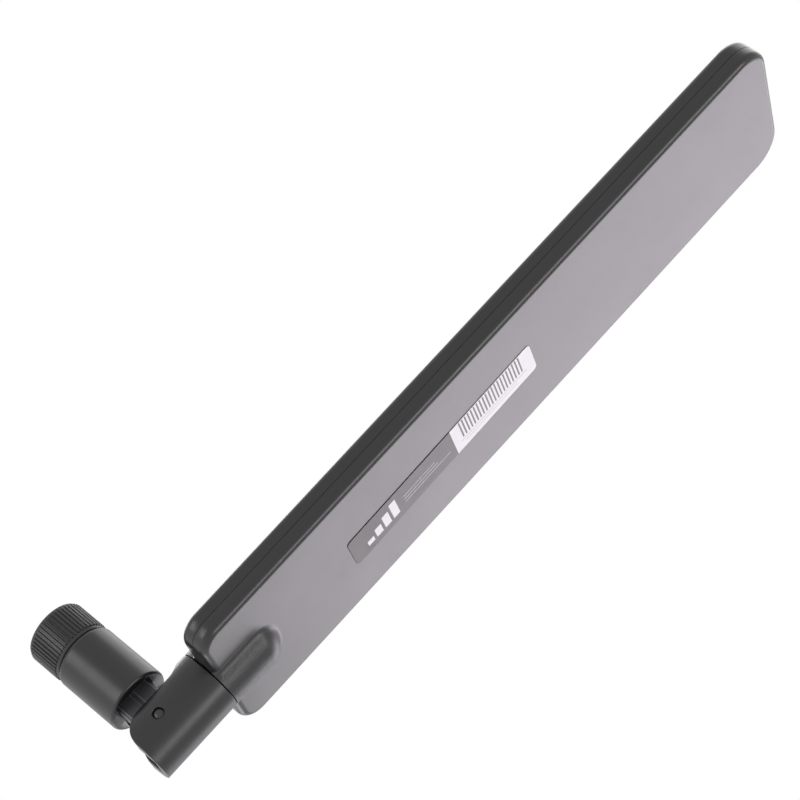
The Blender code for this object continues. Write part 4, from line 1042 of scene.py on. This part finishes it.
# %% Turn the grip and press the ribs
RIBS = 48
RIB_SHAPE = (0.0, 0.04, 0.5, 0.96, 1.0, 0.96, 0.5, 0.04)
RIB_PLACE = (0.0, 0.17, 0.25, 0.33, 0.5, 0.67, 0.75, 0.83)
STEPS = RIBS * len(RIB_SHAPE)
stations = [  # radius, rib depth and reach, in millimetres
    (4.7, 0.0, 22.72), (5.95, 0.0, 22.72), (6.08, 0.0, 22.84), (6.08, 0.0, 23.3), (6.12, 0.0, 23.42),
    (6.4, 0.24, 23.46), (6.45, 0.29, 23.6), (6.45, 0.29, 30.0), (6.43, 0.27, 30.12), (6.24, 0.08, 30.24),
    (6.2, 0.0, 30.34), (6.19, 0.0, 30.5), (6.1, 0.0, 30.66), (5.93, 0.0, 30.77), (5.7, 0.0, 30.8),
    (4.85, 0.0, 30.8), (4.7, 0.0, 30.65),
]
grip_shape = lathe(in_metres(*((radius, reach) for radius, _, reach in stations)), "Y", STEPS)
rib_depth = {(round(radius, 2), round(reach, 2)): depth * MM for radius, depth, reach in stations}
for vert in grip_shape.verts:
    radius = math.hypot(vert.co.x, vert.co.z)
    turned = math.atan2(vert.co.z, vert.co.x) / (2 * math.pi)
    rib, step = divmod(round(turned * STEPS), len(RIB_SHAPE))
    turn = 2 * math.pi * (rib + RIB_PLACE[step]) / RIBS
    radius -= rib_depth[round(radius / MM, 2), round(vert.co.y / MM, 2)] * (1 - RIB_SHAPE[step])
    vert.co.x, vert.co.z = radius * math.cos(turn), radius * math.sin(turn)
put("grip_ribbed", grip_shape, grip_plastic, "nut", "grip_black", "nut_grip", sharp=50)

# %% [markdown]
# ## The coupling nut
# The brass nut sits inside the grip. Its thread has 36 turns to the inch, a pitch of
# 0.706 mm. A plain bore with many short rows of faces is turned first, and every point of
# the bore is then moved in or out with the helix: its phase depends on how far round and
# how far along it is.

# %% Turn the nut and cut its thread
PITCH = 25.4 * MM / 36
THREAD_RADIUS, THREAD_DEPTH = 3.1 * MM, 0.26 * MM
NUT_START, NUT_END, NUT_RADIUS = 23.1 * MM, 30.5 * MM, 4.6 * MM
THREAD_START, THREAD_END = 25.6 * MM, NUT_END - 0.3 * MM
outline = [(2.8 * MM, NUT_START), (NUT_RADIUS, NUT_START), (NUT_RADIUS, NUT_END), (3.45 * MM, NUT_END)]
outline += [(THREAD_RADIUS, reach) for reach in reversed(steps_between(THREAD_START, THREAD_END, PITCH / 10))]
outline += in_metres((3.35, 25.45), (3.35, 24.4), (2.8, 24.4))
nut_shape = lathe(outline, "Y", 96)
for vert in nut_shape.verts:
    if abs(math.hypot(vert.co.x, vert.co.z) - THREAD_RADIUS) < 0.01 * MM:
        turns = vert.co.y / PITCH - math.atan2(vert.co.z, vert.co.x) / (2 * math.pi)
        wave = abs(2 * (turns % 1.0) - 1)
        flattened = min(max(wave * 1.35 - 0.175, 0.0), 1.0) - 0.5
        fade = min(1.0, (THREAD_END - vert.co.y) / PITCH, (vert.co.y - THREAD_START) / PITCH)
        scale = 1 + THREAD_DEPTH * max(0.0, fade) * flattened / THREAD_RADIUS
        vert.co.x *= scale
        vert.co.z *= scale
put("nut_threaded", nut_shape, gold, "nut", "gold_plate", "coupling_nut", sharp=30)

# %% [markdown]
# ## The plug
# Looking into the nut, three rings show: the gold body, the white insulator and the gold
# contact, whose end is bored and slit in four so that it grips the mating pin. They are
# turned with softened corners, and so is the bush that holds the plug in the sleeve. The
# pieces behind them keep their solids and get a finish.

# %% Turn the body, insulator and contact
REFERENCE = MOUTH - 4.4 * MM
COLLAR, GROOVE, RIM = 18.95, 24.7, REFERENCE / MM
outline = in_metres(
    (0.9, 13.5), (1.3, 13.5), (1.3, 17.0), (2.65, 17.0), (2.65, COLLAR), (4.2, COLLAR), (4.2, COLLAR + 1.2),
    (2.65, COLLAR + 1.2), (2.65, GROOVE), (2.3, GROOVE), (2.3, GROOVE + 0.5), (2.65, GROOVE + 0.5),
    (2.65, RIM), (2.1, RIM), (2.1, 17.3), (0.9, 17.3),
)
plug_body = lathe(soften(outline, 0.06 * MM), "Y", 72)
put("plug_body", plug_body, gold, "plug", "gold_plate", "connector_body", sharp=35)
front = REFERENCE - 0.1 * MM
insulator = lathe(soften(rectangle(0.72 * MM, 2.0 * MM, 17.8 * MM, front), 0.08 * MM), "Y", 64)
put("plug_insulator", insulator, insulator_white, "plug", "insulator_white", "insulator")
PIN_HOLE, HOLE_FLOOR, CONTACT, CONTACT_START = 0.46 * MM, front - 3 * MM, 0.62 * MM, 17.6 * MM
outline = [
    (0, CONTACT_START), (CONTACT, CONTACT_START), (CONTACT, front), (PIN_HOLE, front), (PIN_HOLE, HOLE_FLOOR),
    (0, HOLE_FLOOR),
]
contact = lathe(soften(outline, 0.05 * MM), "Y", 40)
for across, up in ((0.1 * MM, 2 * MM), (2 * MM, 0.1 * MM)):
    slit = rectangle(-across, across, -up, up)
    contact = combine(contact, extrude(slit, "Y", front - 2 * MM, front + 2 * MM))
put("plug_contact", contact, gold, "plug", "gold_plate", "centre_contact", sharp=35)
bush = lathe(soften(rectangle(2.95 * MM, 4.5 * MM, 20.45 * MM, 22.4 * MM), 0.12 * MM), "Y", 72)
put("bush_ring", bush, bush_plastic, "base", "bush_black", "retaining_bush")

# %% [markdown]
# ## The cable
# The thin coaxial cable leaves the plug's tail, bends up through the slot in the tongue and
# the yoke's bore, and lies on the board to its middle. It crosses the tilt joint, where it
# turns smoothly from along the plug up into the paddle.


# %% Run the cable over the hinge
def through(knots, steps):
    """Sample a centripetal curve that passes through all the knots."""
    ends = [2 * knots[0] - knots[1]] + knots + [2 * knots[-1] - knots[-2]]
    points = []
    for a, b, c, d in zip(ends, ends[1:], ends[2:], ends[3:]):
        t1 = math.sqrt((b - a).length)
        t2 = t1 + math.sqrt((c - b).length)
        t3 = t2 + math.sqrt((d - c).length)
        for step in range(steps):
            t = t1 + (t2 - t1) * step / steps
            ab, bc, cd = a.lerp(b, t / t1), b.lerp(c, (t - t1) / (t2 - t1)), c.lerp(d, (t - t2) / (t3 - t2))
            points.append(ab.lerp(bc, t / t2).lerp(bc.lerp(cd, (t - t1) / (t3 - t1)), (t - t1) / (t2 - t1)))
    return points + [knots[-1]]


knots = [  # reach and height, in millimetres
    (15.25, 0), (10.675, 0), (6.2, 0), (2.976, 0.384), (1.392, 1.392), (0.384, 2.976), (0, 6.2),
    (-0.055, 18.65), (-0.11, 25.2), (-0.11, 34.8), (-0.11, 57.5), (-0.11, 85.9),
]
route = through([Vector((0, reach, height)) * MM for reach, height in knots], 12)
cable_data = bpy.data.curves.new("cable_route", "CURVE")
cable_data.dimensions = "3D"
cable_data.bevel_depth = 0.7 * MM
cable_data.bevel_resolution = 5
cable_data.use_fill_caps = True
spline = cable_data.splines.new("POLY")
spline.points.add(len(route) - 1)
for point, spot in zip(spline.points, route):
    point.co = (*(spot + hinge), 1.0)
guide = bpy.data.objects.new("cable_route", cable_data)
scene.collection.objects.link(guide)
cable_mesh = bpy.data.meshes.new_from_object(guide.evaluated_get(bpy.context.evaluated_depsgraph_get()))
bpy.data.objects.remove(guide)
cable = bpy.data.objects.new("cable", cable_mesh)
scene.collection.objects.link(cable)
cable_mesh.shade_smooth()
cable_mesh.materials.clear()
cable_mesh.materials.append(jacket)
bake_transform(cable)
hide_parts("coax_cable")
print("cable length in mm:", in_mm(sum((b - a).length for a, b in zip(route, route[1:]))))

# %% [markdown]
# ## Finishes for the solids that stay
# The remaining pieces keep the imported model's shapes: the board, its copper arms and
# solder, the inner conductor, the ferrule, the snap ring and the o-ring.

# %% Give the remaining solids their finishes
kept_solids = {
    "radiator_board": board_mask, "upper_radiator": copper, "lower_radiator": copper,
    "shield_solder": solder, "core_solder": solder, "coax_core": tinned, "crimp_ferrule": nickel,
    "snap_ring": steel, "swivel_o_ring": rubber,
}
for node, material in kept_solids.items():
    mesh = frame["nodes"][node].data
    mesh.materials.clear()
    mesh.materials.append(material)
print("solids kept:", len(kept_solids))
